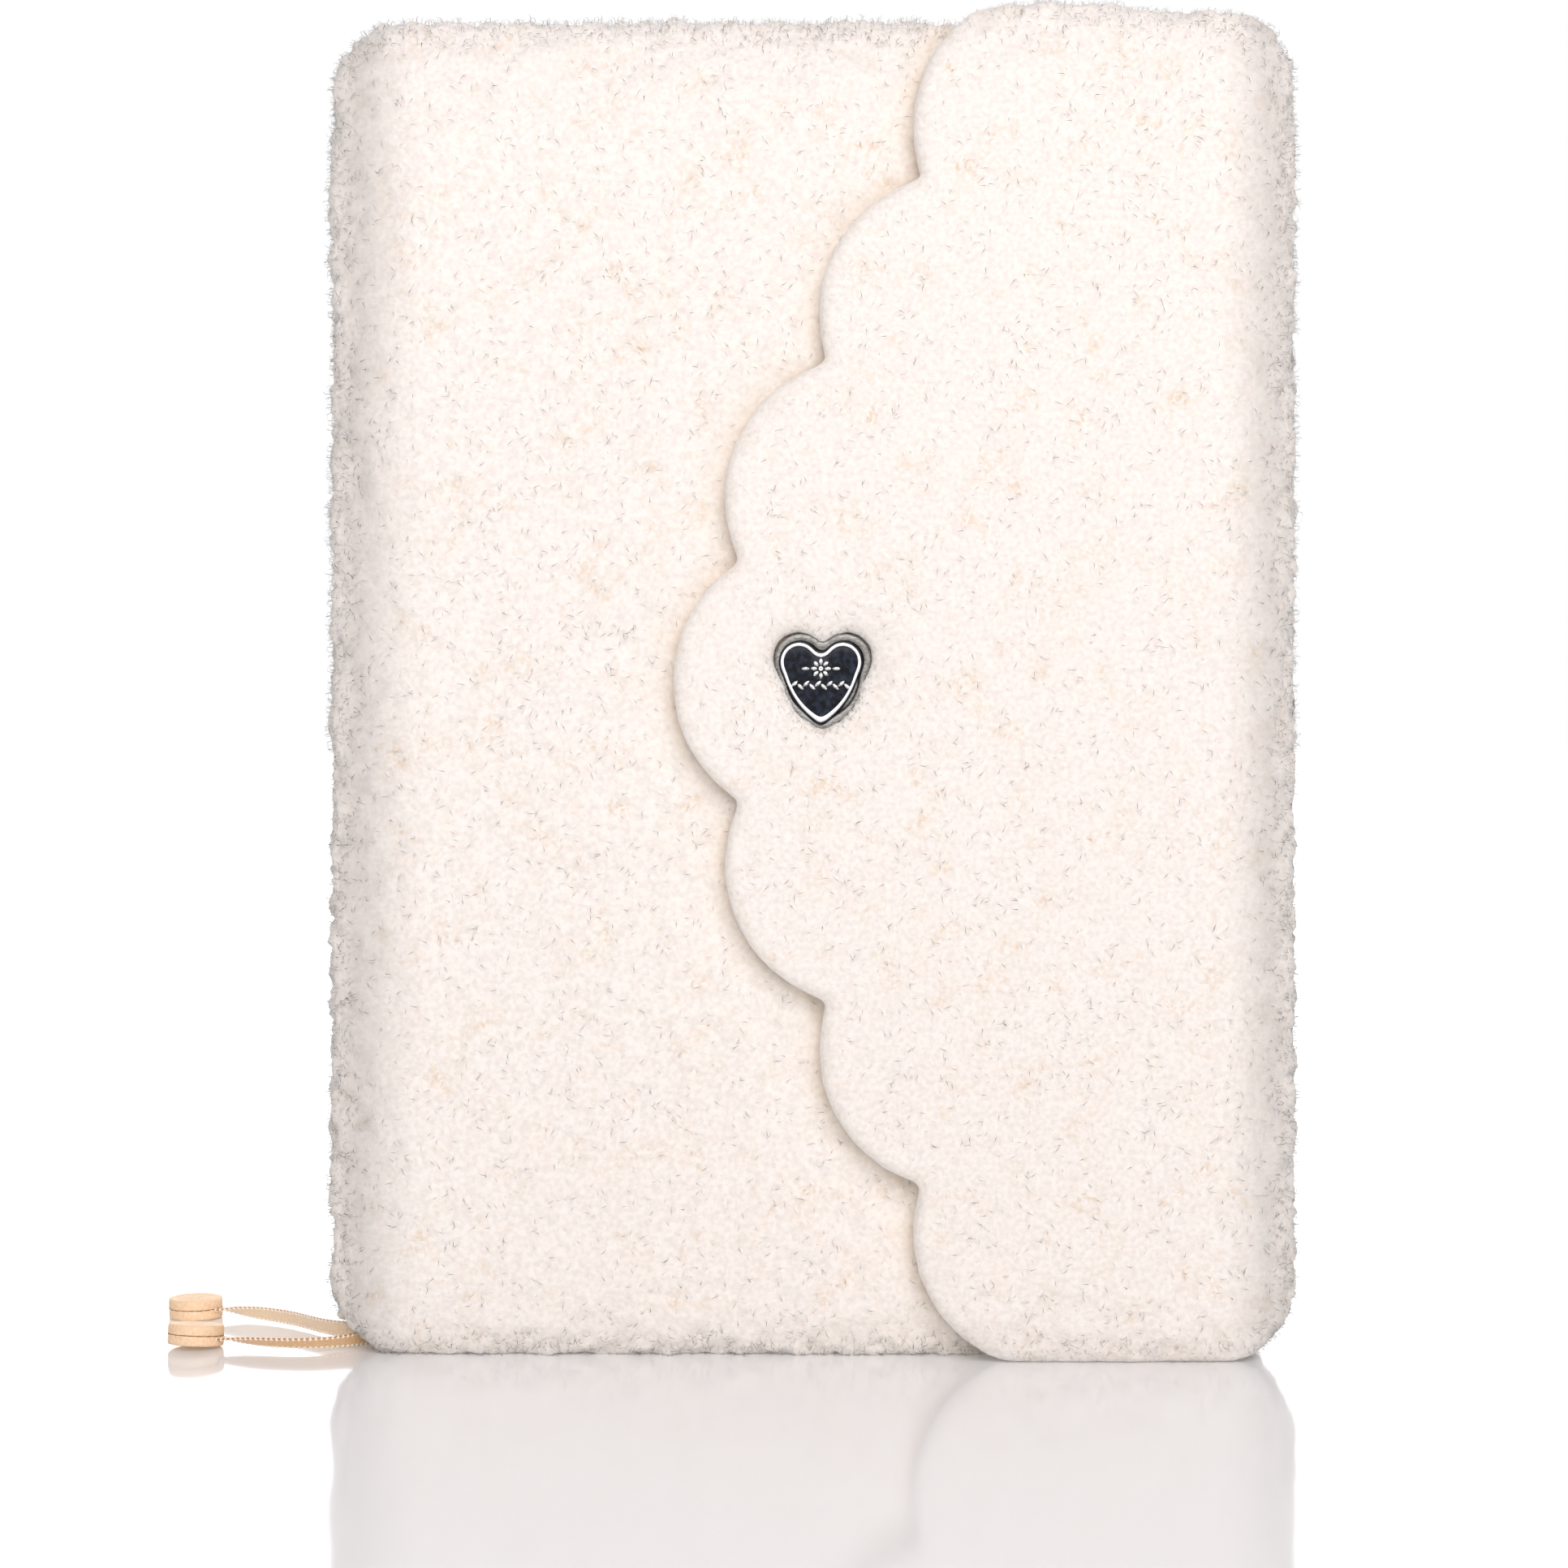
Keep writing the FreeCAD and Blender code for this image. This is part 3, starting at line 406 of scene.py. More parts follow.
# each entry: finish, light tone, dark tone, grain or thread size, roughness, depth of the relief
looks = {
    # uncoated paper: dull warm white, faint darker lines where the sheets' edges meet
    "paper": patternedMaterial("uncoatedBookPaper", "f6efe0", "dccfb6", 0.45 * mm, 0.85, 0.00006,
                               (0.05, 1.0, 0.05)),
    # laid paper: matt ivory, soft streaks along the mould's wires
    "endpaper": patternedMaterial("laidEndpaper", "ece0c8", "dccdb0", 1.2 * mm, 0.8, 0.00003, (1, 1, 0.2)),
    # kraft paper: flat brown with short darker fibres
    "kraft": patternedMaterial("kraftPaper", "b58f62", "9c774c", 0.8 * mm, 0.8, 0.00004, (1, 1, 0.3)),
    # pressed grey board: mottled dull grey, slightly rough
    "greyboard": patternedMaterial("greyBoard", "9a948b", "7d776f", 0.7 * mm, 0.9, 0.00008),
    # open-cell foam: chalky off-white with small dark pores
    "foam": patternedMaterial("openCellFoam", "f3f0e6", "d9d3c2", 0.6 * mm, 0.95, 0.00015),
    # linen: oatmeal cloth, threads just over half a millimetre apart, darker between them
    "lining": wovenMaterial("linenLining", "e6d8c0", "bfa988", 0.55 * mm, 0.85),
    # starched cotton mull: pale and open, its threads drawn far apart
    "mull": wovenMaterial("cottonMull", "efe8da", "c9bea8", 0.9 * mm, 0.9),
    # cotton tape: pale, close, even weave
    "tape": wovenMaterial("cottonTape", "f0eadf", "cfc5b2", 0.5 * mm, 0.85),
    # vegetable-tanned leather: light tan with a fine darker grain and a dull shine
    "leather": patternedMaterial("vegetableTannedLeather", "fde3c3", "f3c899", 0.5 * mm, 0.55, 0.00006),
    # nickel plate: warm silver, softly blurred mirror
    "nickel": metalMaterial("nickelPlate", "cfccc6", "b9b6b0", 0.28, 0.06, 0.00001),
}
print("materials ready")


badge = {
    "middle": 1.9, "lobeHeight": 112.75, "lobe": 4.3, "spread": 3.5, "drop": 11.5, "count": 176,
    "motifSeat": -19.8,
    # the raised heart sits a little towards the lobe's tip and reaches further down
    "shift": -0.3, "lift": -0.3, "longer": 1.05, "bulge": 0.95, "outerBulge": 1.85,
    # rings of each layer: inset from the border, then Y
    "flange": ((0.35, -17.9), (0.0, -18.0), (-0.1, -18.3), (-0.1, -19.1), (0.0, -19.3), (0.3, -19.42),
               (1.0, -19.46), (1.2, -19.3), (1.3, -19.0), (1.6, -19.0)),
    "body": ((1.0, -18.9), (1.0, -19.55), (1.06, -19.62), (1.3, -19.68), (1.6, -19.66)),
    "rim": ((1.26, -19.5), (1.28, -19.86), (1.38, -20.02), (1.56, -20.08), (1.74, -20.02), (1.86, -19.86),
            (1.88, -19.5)),
    "face": ((1.74, -19.5), (1.76, -19.7), (1.9, -19.73)),
}
rosette = {"petals": 8, "reach": 1.1, "petalLong": 0.6, "petalWide": 0.4, "rise": 0.24, "boss": 0.42,
           "height": -1.35, "garlandHeight": -4.0, "garlandHalf": 4.2, "leaves": 10,
           "leafLong": 0.72, "leafWide": 0.36, "leafTurn": 0.75, "leafStagger": 0.24, "sprigGap": 1.35}


def heartLine(inset, rounds, shift=0.0):
    # the heart's border moved inwards, evenly spaced, in mm from the middle of its two lobes
    r, spread, drop = badge["lobe"], badge["spread"], badge["drop"]
    notch = math.sqrt(r * r - spread * spread)
    side = math.atan(spread / drop) + math.asin(r / math.hypot(spread, drop))
    inner = math.atan2(notch, spread)
    dip = np.linspace(-math.pi / 2, -inner, 24)
    turn = np.linspace(math.pi - inner, -side, 90)
    half = [np.stack([inset * np.cos(dip), notch + inset * np.sin(dip)], 1),
            np.stack([spread + (r - inset) * np.cos(turn), (r - inset) * np.sin(turn)], 1)]
    last = half[1][-1]
    slope = np.array([-math.sin(side), -math.cos(side)])
    way = np.linspace(0, 1, 30)[1:, None]
    bulge = badge["bulge"] if shift else badge["outerBulge"]
    swell = np.array([math.cos(side), -math.sin(side)]) * bulge * 4 * way * (1 - way)
    half.append(last + slope * (last[0] / math.sin(side)) * way + swell)
    right = np.concatenate(half)
    loop = np.concatenate([right, (right * (-1, 1))[::-1][1:]])
    step = np.hypot(*np.diff(loop, axis=0).T)
    along = np.concatenate([[0], np.cumsum(step)])
    want = np.linspace(0, along[-1], badge["count"], endpoint=False)
    even = np.stack([np.interp(want, along, loop[:, i]) for i in (0, 1)], 1)
    for _ in range(rounds):
        even = 0.5 * even + 0.25 * (np.roll(even, 1, 0) + np.roll(even, -1, 0))
    if shift:
        even[:, 0] += shift
        even[:, 1] = even[:, 1] * badge["longer"] + badge["lift"]
    return even


def heartReach(x, z):
    # distance outside the heart's border in mm, less than nothing inside, and the way towards it
    near = (np.abs(x - badge["middle"]) < 14) & (np.abs(z - badge["lobeHeight"] + 3) < 16)
    u, v = x[near] - badge["middle"], z[near] - badge["lobeHeight"]
    line = heartLine(0.0, 2)
    gaps = line[None] - np.stack([u, v], 1)[:, None]
    spans = np.hypot(gaps[..., 0], gaps[..., 1])
    best = spans.argmin(1)
    rows = np.arange(len(u))
    after = np.roll(line, -1, 0)
    crossing = ((line[:, 1] > v[:, None]) != (after[:, 1] > v[:, None]))
    with np.errstate(divide="ignore", invalid="ignore"):
        at = line[:, 0] + ((v[:, None] - line[:, 1]) * (after[:, 0] - line[:, 0])
                           / (after[:, 1] - line[:, 1]))
    inside = (crossing & (u[:, None] < at)).sum(1) % 2 == 1
    distance, toward = np.full(len(x), 99.0), np.zeros((len(x), 2))
    distance[near] = np.where(inside, -spans[rows, best], spans[rows, best])
    toward[near] = gaps[rows, best] / np.maximum(distance[near], 0.3)[:, None]
    return distance, toward


wrap = {
    "halfWidth": 77.5, "corner": 11.5, "coverTop": 214.0, "wrapFoot": 0.4, "wrapTop": 215.6,
    "foldX": 73.5, "foldY": 17.5, "depth": 4.0, "frontFace": -15.1, "backFace": 21.5, "flapFace": -21.5,
    "voxel": 0.9, "softRounds": 10, "flapRounds": 5,
    "crownReach": 16.0, "crownDrop": 4.4,   # the padding thins towards the edges of the covers
    "swell": 0.5, "headStretch": 0.9, "caseHeadRise": 1.45, "flapHeadRise": 1.6,
    "wallFrom": 71.0, "wallDeep": 15.0,      # the fore-edge wall's cloth starts here
    "cutX": 71.2, "cutY": 10.0,              # where the cover's piece is cut from the wall's
    # how strong the painted shadow along the flap's edge is, and how far in under it and out from it
    "pressed": 0.42, "flapShadowIn": 6.5, "flapShadowOut": 5.5,
    "heartClosing": 0.45, "heartDimple": 1.5, "heartFuzz": 34.0,   # the pile drawn in round the badge
    # the most painted edge shade at each side and how far in it reaches
    "paintedEdgeShade": {"spine": (0.88, 15.0), "foreEdge": (0.9, 12.0), "tail": (0.3, 7.0), "head": (0.12, 5.0)},
    "seamX": 60.0,   # the back cover's fleece runs on as the fold's from here
}
scallop = {"radius": 22.0, "middle": 109.3, "pitch": 29.4, "tip": 0.4, "firstStep": 8.3, "step": 15.1,
           "each": 3}
pile = {
    "lumpHeight": 1.8 * mm, "lumpSize": 5.2 * mm, "fineSize": 2.2 * mm, "warp": 3.0 * mm,
    "curlsPerSquareMm": 0.16, "rimCurls": 6.0, "curlLength": 1.6 * mm, "curlWidth": 0.055 * mm, "lean": 0.7,
    "groundShare": 0.92, "seed": 7,
}


def cornerDrop(x):
    # how far the rounded corner cuts in from the head or tail at this x
    past = np.clip(np.abs(x) - (wrap["halfWidth"] - wrap["corner"]), 0, wrap["corner"])
    return wrap["corner"] - np.sqrt(wrap["corner"] ** 2 - past ** 2)


def foldCore(name, side):
    # fills the turn between a cover's plane and the fore edge, round outside and square inside
    fx, fy, depth = wrap["foldX"], wrap["foldY"], wrap["depth"]
    plan = [(fx - 4.5, fy + depth, 0.0)]
    for step in range(13):
        angle = math.radians(90 - step * 7.5)
        plan.append((fx + depth * math.cos(angle), fy + depth * math.sin(angle), step / 12))
    plan += [(fx + depth, fy - 4.5, 1.0), (fx, fy - 4.5, 1.0), (fx, fy, 0.5), (fx - 4.5, fy, 0.0)]
    points, count = [], len(plan)
    for end in (0, 1):
        for x, y, share in plan:
            share = share if side > 0 else 1.0
            low = share * wrap["wrapFoot"] + cornerDrop(x)
            high = (1 - share) * wrap["coverTop"] + share * wrap["wrapTop"] - cornerDrop(x)
            points.append((x * mm, side * y * mm, (high if end else low) * mm))
    faces = [list(range(count))[::-1], [count + i for i in range(count)]]
    faces += [(i, (i + 1) % count, count + (i + 1) % count, count + i) for i in range(count)]
    return newPiece(name, points, faces, smooth=False)


def joinedShell(name, nodeNames, extras, voxel):
    # one closed skin round copies of the CAD solids and the extra bodies
    bm = bmesh.new()
    for mesh in [nodes[n].data for n in nodeNames] + [e.data for e in extras]:
        bm.from_mesh(mesh)
    bmesh.ops.remove_doubles(bm, verts=bm.verts, dist=1e-6)
    bmesh.ops.recalc_face_normals(bm, faces=bm.faces)
    mesh = bpy.data.meshes.new(name)
    bm.to_mesh(mesh)
    bm.free()
    shell = bpy.data.objects.new(name, mesh)
    bpy.context.scene.collection.objects.link(shell)
    remesh = shell.modifiers.new("skin", "REMESH")
    remesh.mode = "VOXEL"
    remesh.voxel_size = voxel * mm
    plainMesh(shell)
    for extra in extras:
        bpy.data.objects.remove(extra)
    return shell


def softened(mesh, rounds):
    # lets the edges round off as thick cloth does
    places = vertexPlaces(mesh)
    ends = np.empty(len(mesh.edges) * 2, np.int32)
    mesh.edges.foreach_get("vertices", ends)
    a, b = ends[0::2], ends[1::2]
    count = len(places)
    ties = np.bincount(a, minlength=count) + np.bincount(b, minlength=count)
    for _ in range(rounds):
        for axis in range(3):
            total = np.bincount(a, places[b, axis], count) + np.bincount(b, places[a, axis], count)
            places[:, axis] += 0.6 * (total / ties - places[:, axis])
    mesh.vertices.foreach_set("co", places.astype(np.float32).ravel())
    mesh.update()
    return places / mm


def moveShell(mesh, place, share, height, headRise):
    # sets the shell's places, swelling the pile side and letting it stand proud at the head
    place[:, 2] += (wrap["headStretch"] + headRise) * smoothStep(185, 213, height) * share
    mesh.vertices.foreach_set("co", (place * mm).astype(np.float32).ravel())
    mesh.update()
    normals = np.empty(len(place) * 3, np.float32)
    mesh.vertices.foreach_get("normal", normals)
    place += normals.reshape(-1, 3) * (wrap["swell"] * share)[:, None]
    mesh.vertices.foreach_set("co", (place * mm).astype(np.float32).ravel())
    mesh.update()


def outlineDepth(x, z, foot, top):
    # how far inside the rounded outline, in mm
    half = (top - foot) / 2
    dx = np.abs(x) - (wrap["halfWidth"] - wrap["corner"])
    dz = np.abs(z - (foot + top) / 2) - (half - wrap["corner"])
    outside = np.hypot(np.clip(dx, 0, None), np.clip(dz, 0, None)) + np.clip(np.maximum(dx, dz), None, 0)
    return wrap["corner"] - outside


def crownFall(edge, face):
    # how far the padding thins towards a cover's edges, fading out round the side
    thin = wrap["crownDrop"] * (1 - np.clip(edge / wrap["crownReach"], 0, 1)) ** 2
    return thin * (1 - smoothStep(0.0, 12.0, face))


def scallopDepth(x, z):
    # how far inside the flap's lobed edge, in mm
    best = np.full(len(x), -1e9)
    for index in range(-scallop["each"], scallop["each"] + 1):
        steps = abs(index)
        centre = scallop["tip"] + (scallop["firstStep"] + (steps - 1) * scallop["step"] if steps else 0)
        height = scallop["middle"] + index * scallop["pitch"]
        best = np.maximum(best, scallop["radius"] - np.hypot(np.clip(centre - x, 0, None), z - height))
    return best


def paintedRimShade(x, z):
    # painted shade on the pile near each side of the book, where the light falls off as the cloth turns
    # away: widest at the spine, least at the head
    shade = np.zeros(len(x))
    far = {"spine": x + wrap["halfWidth"], "foreEdge": wrap["halfWidth"] - x, "tail": z,
           "head": wrap["wrapTop"] - z}
    for side, (most, reach) in wrap["paintedEdgeShade"].items():
        d = np.clip(far[side], 0, reach)
        shade = np.maximum(shade, most * (1 - d / reach) ** 1.3 * (0.25 + 0.75 * smoothStep(0, 5.5, d)))
    return shade


def rimFuzz(edge, face):
    # looser locks where the cloth turns over an edge, fewer again on the sides
    turned = 1 - smoothStep(1.5, 6.0, np.maximum(edge, 0))
    return 1 + pile["rimCurls"] * turned * (1 - 0.85 * smoothStep(3.0, 8.0, face))


def makeLumpTree():
    # raises the pile in rounded lumps and marks the hollows between them
    tree, given, out = newTree("fleeceLumps", [("Lump height", "NodeSocketFloat"),
                                               ("Lump size", "NodeSocketFloat"),
                                               ("Fine size", "NodeSocketFloat"),
                                               ("Warp", "NodeSocketFloat")])
    place = addNode(tree, "GeometryNodeInputPosition").outputs[0]
    kept = addNode(tree, "GeometryNodeStoreNamedAttribute", {"data_type": "FLOAT_VECTOR",
                                                             "domain": "POINT"},
                   {"Geometry": given["Geometry"], "Name": "restPlace", "Value": place})

    def per(size):
        return addNode(tree, "ShaderNodeMath", {"operation": "DIVIDE"}, {0: 1.0, 1: size}).outputs[0]

    drift = addNode(tree, "ShaderNodeTexNoise", {},
                    {"Vector": place, "Scale": per(given["Lump size"]), "Detail": 1.0})
    centred = addNode(tree, "ShaderNodeVectorMath", {"operation": "SUBTRACT"},
                      {0: drift.outputs["Color"], 1: (0.5, 0.5, 0.5)})
    moved = addNode(tree, "ShaderNodeVectorMath", {"operation": "SCALE"},
                    {0: centred.outputs[0], "Scale": given["Warp"]})
    warped = addNode(tree, "ShaderNodeVectorMath", {"operation": "ADD"},
                     {0: place, 1: moved.outputs[0]}).outputs[0]
    total = None
    for size, share in ((given["Lump size"], -0.55), (given["Fine size"], -0.5)):
        cells = addNode(tree, "ShaderNodeTexVoronoi", {"feature": "SMOOTH_F1"},
                        {"Vector": warped, "Scale": per(size), "Smoothness": 0.7})
        scaled = addNode(tree, "ShaderNodeMath", {"operation": "MULTIPLY"},
                         {0: cells.outputs["Distance"], 1: share})
        total = scaled.outputs[0] if total is None else addNode(
            tree, "ShaderNodeMath", {"operation": "ADD"}, {0: total, 1: scaled.outputs[0]}).outputs[0]
    rough = addNode(tree, "ShaderNodeTexNoise", {},
                    {"Vector": place, "Scale": per(given["Fine size"]), "Detail": 2.0})
    roughShare = addNode(tree, "ShaderNodeMath", {"operation": "MULTIPLY_ADD"},
                         {0: rough.outputs["Fac"], 1: 0.7, 2: 0.12})
    height = addNode(tree, "ShaderNodeMath", {"operation": "ADD"},
                     {0: total, 1: roughShare.outputs[0]}).outputs[0]
    share = addNode(tree, "GeometryNodeInputNamedAttribute", {"data_type": "FLOAT"},
                    {"Name": "pile"}).outputs[0]
    raised = addNode(tree, "ShaderNodeMath", {"operation": "MULTIPLY"},
                     {0: height, 1: given["Lump height"]})
    weighted = addNode(tree, "ShaderNodeMath", {"operation": "MULTIPLY"}, {0: raised.outputs[0], 1: share})
    normal = addNode(tree, "GeometryNodeInputNormal").outputs[0]
    offset = addNode(tree, "ShaderNodeVectorMath", {"operation": "SCALE"},
                     {0: normal, "Scale": weighted.outputs[0]})
    hollow = addNode(tree, "ShaderNodeMapRange", {}, {"Value": height, "From Min": 0.02, "From Max": -0.18})
    marked = addNode(tree, "GeometryNodeStoreNamedAttribute", {"data_type": "FLOAT", "domain": "POINT"},
                     {"Geometry": kept.outputs[0], "Name": "hollow", "Value": hollow.outputs[0]})
    placed = addNode(tree, "GeometryNodeSetPosition", {},
                     {"Geometry": marked.outputs[0], "Offset": offset.outputs[0]})
    # the uncut shell's normals keep the seams between the pieces unseen
    lit = addNode(tree, "GeometryNodeStoreNamedAttribute", {"data_type": "FLOAT_VECTOR", "domain": "POINT"},
                  {"Geometry": placed.outputs[0], "Name": "groundNormal", "Value": normal})
    tree.links.new(lit.outputs[0], out["Geometry"])
    return tree


def makeCurlTree():
    # sows short curled locks over the pile
    tree, given, out = newTree("fleeceCurls", [("Curl", "NodeSocketObject"), ("Density", "NodeSocketFloat"),
                                               ("Lean", "NodeSocketFloat"), ("Seed", "NodeSocketInt"),
                                               ("Material", "NodeSocketMaterial")])
    share = addNode(tree, "GeometryNodeInputNamedAttribute", {"data_type": "FLOAT"},
                    {"Name": "tufts"}).outputs[0]
    density = addNode(tree, "ShaderNodeMath", {"operation": "MULTIPLY"}, {0: share, 1: given["Density"]})
    cap = addNode(tree, "GeometryNodeInputNamedAttribute", {"data_type": "FLOAT"},
                  {"Name": "seamCap"}).outputs[0]
    shown = addNode(tree, "ShaderNodeMath", {"operation": "LESS_THAN"}, {0: cap, 1: 0.5})
    ground = given["Geometry"]
    sown = addNode(tree, "GeometryNodeDistributePointsOnFaces", {"distribute_method": "RANDOM"},
                   {"Mesh": ground, "Selection": shown.outputs[0], "Density": density.outputs[0],
                    "Seed": given["Seed"]})
    least = addNode(tree, "ShaderNodeCombineXYZ", {}, {"Z": -3.1416})
    most = addNode(tree, "ShaderNodeCombineXYZ", {}, {"X": given["Lean"], "Z": 3.1416})
    turn = addNode(tree, "FunctionNodeRandomValue", {"data_type": "FLOAT_VECTOR"},
                   {"Min": least.outputs[0], "Max": most.outputs[0], "Seed": given["Seed"]})
    parts = addNode(tree, "ShaderNodeSeparateXYZ", {}, {0: turn.outputs[0]})
    spin = addNode(tree, "ShaderNodeCombineXYZ", {}, {"Z": parts.outputs["Z"]})
    leaning = addNode(tree, "ShaderNodeCombineXYZ", {}, {"X": parts.outputs["X"]})
    rotation = sown.outputs["Rotation"]
    for euler in (spin, leaning):
        made = addNode(tree, "FunctionNodeEulerToRotation", {}, {0: euler.outputs[0]})
        rotation = addNode(tree, "FunctionNodeRotateRotation", {"rotation_space": "LOCAL"},
                           {"Rotation": rotation, "Rotate By": made.outputs[0]}).outputs[0]
    size = addNode(tree, "FunctionNodeRandomValue", {"data_type": "FLOAT"},
                   {2: 0.55, 3: 1.25, "Seed": given["Seed"]})
    shorter = addNode(tree, "GeometryNodeInputNamedAttribute", {"data_type": "FLOAT"},
                      {"Name": "curlSize"}).outputs[0]
    scale = addNode(tree, "ShaderNodeMath", {"operation": "MULTIPLY"}, {0: size.outputs[1], 1: shorter})
    curl = addNode(tree, "GeometryNodeObjectInfo", {"transform_space": "ORIGINAL"},
                   {"Object": given["Curl"]})
    locks = addNode(tree, "GeometryNodeInstanceOnPoints", {}, {"Points": sown.outputs["Points"],
                    "Instance": curl.outputs["Geometry"], "Rotation": rotation, "Scale": scale.outputs[0]})
    plain = addNode(tree, "GeometryNodeRealizeInstances", {}, {"Geometry": locks.outputs[0]})
    bright = addNode(tree, "GeometryNodeStoreNamedAttribute", {"data_type": "FLOAT", "domain": "POINT"},
                     {"Geometry": plain.outputs[0], "Name": "hollow", "Value": 0.0})
    both = addNode(tree, "GeometryNodeJoinGeometry")
    tree.links.new(ground, both.inputs[0])
    tree.links.new(bright.outputs[0], both.inputs[0])
    kept = addNode(tree, "GeometryNodeInputNamedAttribute", {"data_type": "FLOAT_VECTOR"},
                   {"Name": "groundNormal"})
    own = addNode(tree, "GeometryNodeInputNormal").outputs[0]
    mixed = addNode(tree, "ShaderNodeMix", {"data_type": "VECTOR"}, {0: pile["groundShare"]})
    tree.links.new(own, mixed.inputs[4])
    tree.links.new(kept.outputs[0], mixed.inputs[5])
    lit = addNode(tree, "GeometryNodeSetMeshNormal", {"mode": "TANGENT_SPACE", "domain": "POINT"},
                  {"Mesh": both.outputs[0], "Custom Normal": mixed.outputs[1]})
    painted = addNode(tree, "GeometryNodeSetMaterial", {},
                      {"Geometry": lit.outputs[0], "Material": given["Material"]})
    tree.links.new(painted.outputs[0], out["Geometry"])
    return tree


def makeCurl(p):
    # one lock: a three-sided tapered hook of ten triangles
    length, width = p["curlLength"], p["curlWidth"]
    points = []
    for height, lean, girth in ((-0.12, 0.0, 1.0), (0.34, 0.3, 0.8)):
        for side in range(3):
            angle = side * 2 * math.pi / 3
            points.append((width * girth * math.cos(angle), lean * length + width * girth * math.sin(angle),
                           height * length))
    points.append((0.0, 0.88 * length, 0.14 * length))
    faces = [(0, 2, 1)]
    for side in range(3):
        after = (side + 1) % 3
        faces += [(side, after, 3 + after, 3 + side), (3 + side, 3 + after, 6)]
    return newPiece("curl", points, faces)


def splitPiece(shell, name, keep):
    # the faces that keep() chooses, with the cut edge closed by a hidden cap
    bm = bmesh.new()
    bm.from_mesh(shell.data)
    bmesh.ops.delete(bm, geom=[f for f in bm.faces if not keep(f.calc_center_median())], context="FACES")
    for face in bm.faces:
        face.smooth = True
    cap = bm.faces.layers.float.new("seamCap")
    rim = [e for e in bm.edges if e.is_boundary]
    if rim:
        for edge in rim:
            edge.smooth = False
        for face in bmesh.ops.holes_fill(bm, edges=rim, sides=0)["faces"]:
            face[cap] = 1.0
            face.smooth = False
    loose = [v for v in bm.verts if not v.link_faces]
    bmesh.ops.delete(bm, geom=loose, context="VERTS")
    mesh = bpy.data.meshes.new(name)
    bm.to_mesh(mesh)
    bm.free()
    piece = bpy.data.objects.new(name, mesh)
    bpy.context.scene.collection.objects.link(piece)
    return piece


def thinInside(piece, hidden, keepShare):
    # fewer faces where boards and linings hide the cloth
    group = piece.vertex_groups.new(name="hidden")
    group.add([int(i) for i in np.nonzero(hidden)[0]], 1.0, "REPLACE")
    thin = piece.modifiers.new("thin", "DECIMATE")
    thin.ratio = keepShare
    thin.vertex_group = "hidden"
    plainMesh(piece)
    piece.vertex_groups.clear()


def keepOffFloor(mesh):
    # no lock reaches below the floor
    places = vertexPlaces(mesh)
    places[:, 2] = np.maximum(places[:, 2], 0.03 * mm)
    mesh.vertices.foreach_set("co", places.astype(np.float32).ravel())
    mesh.update()


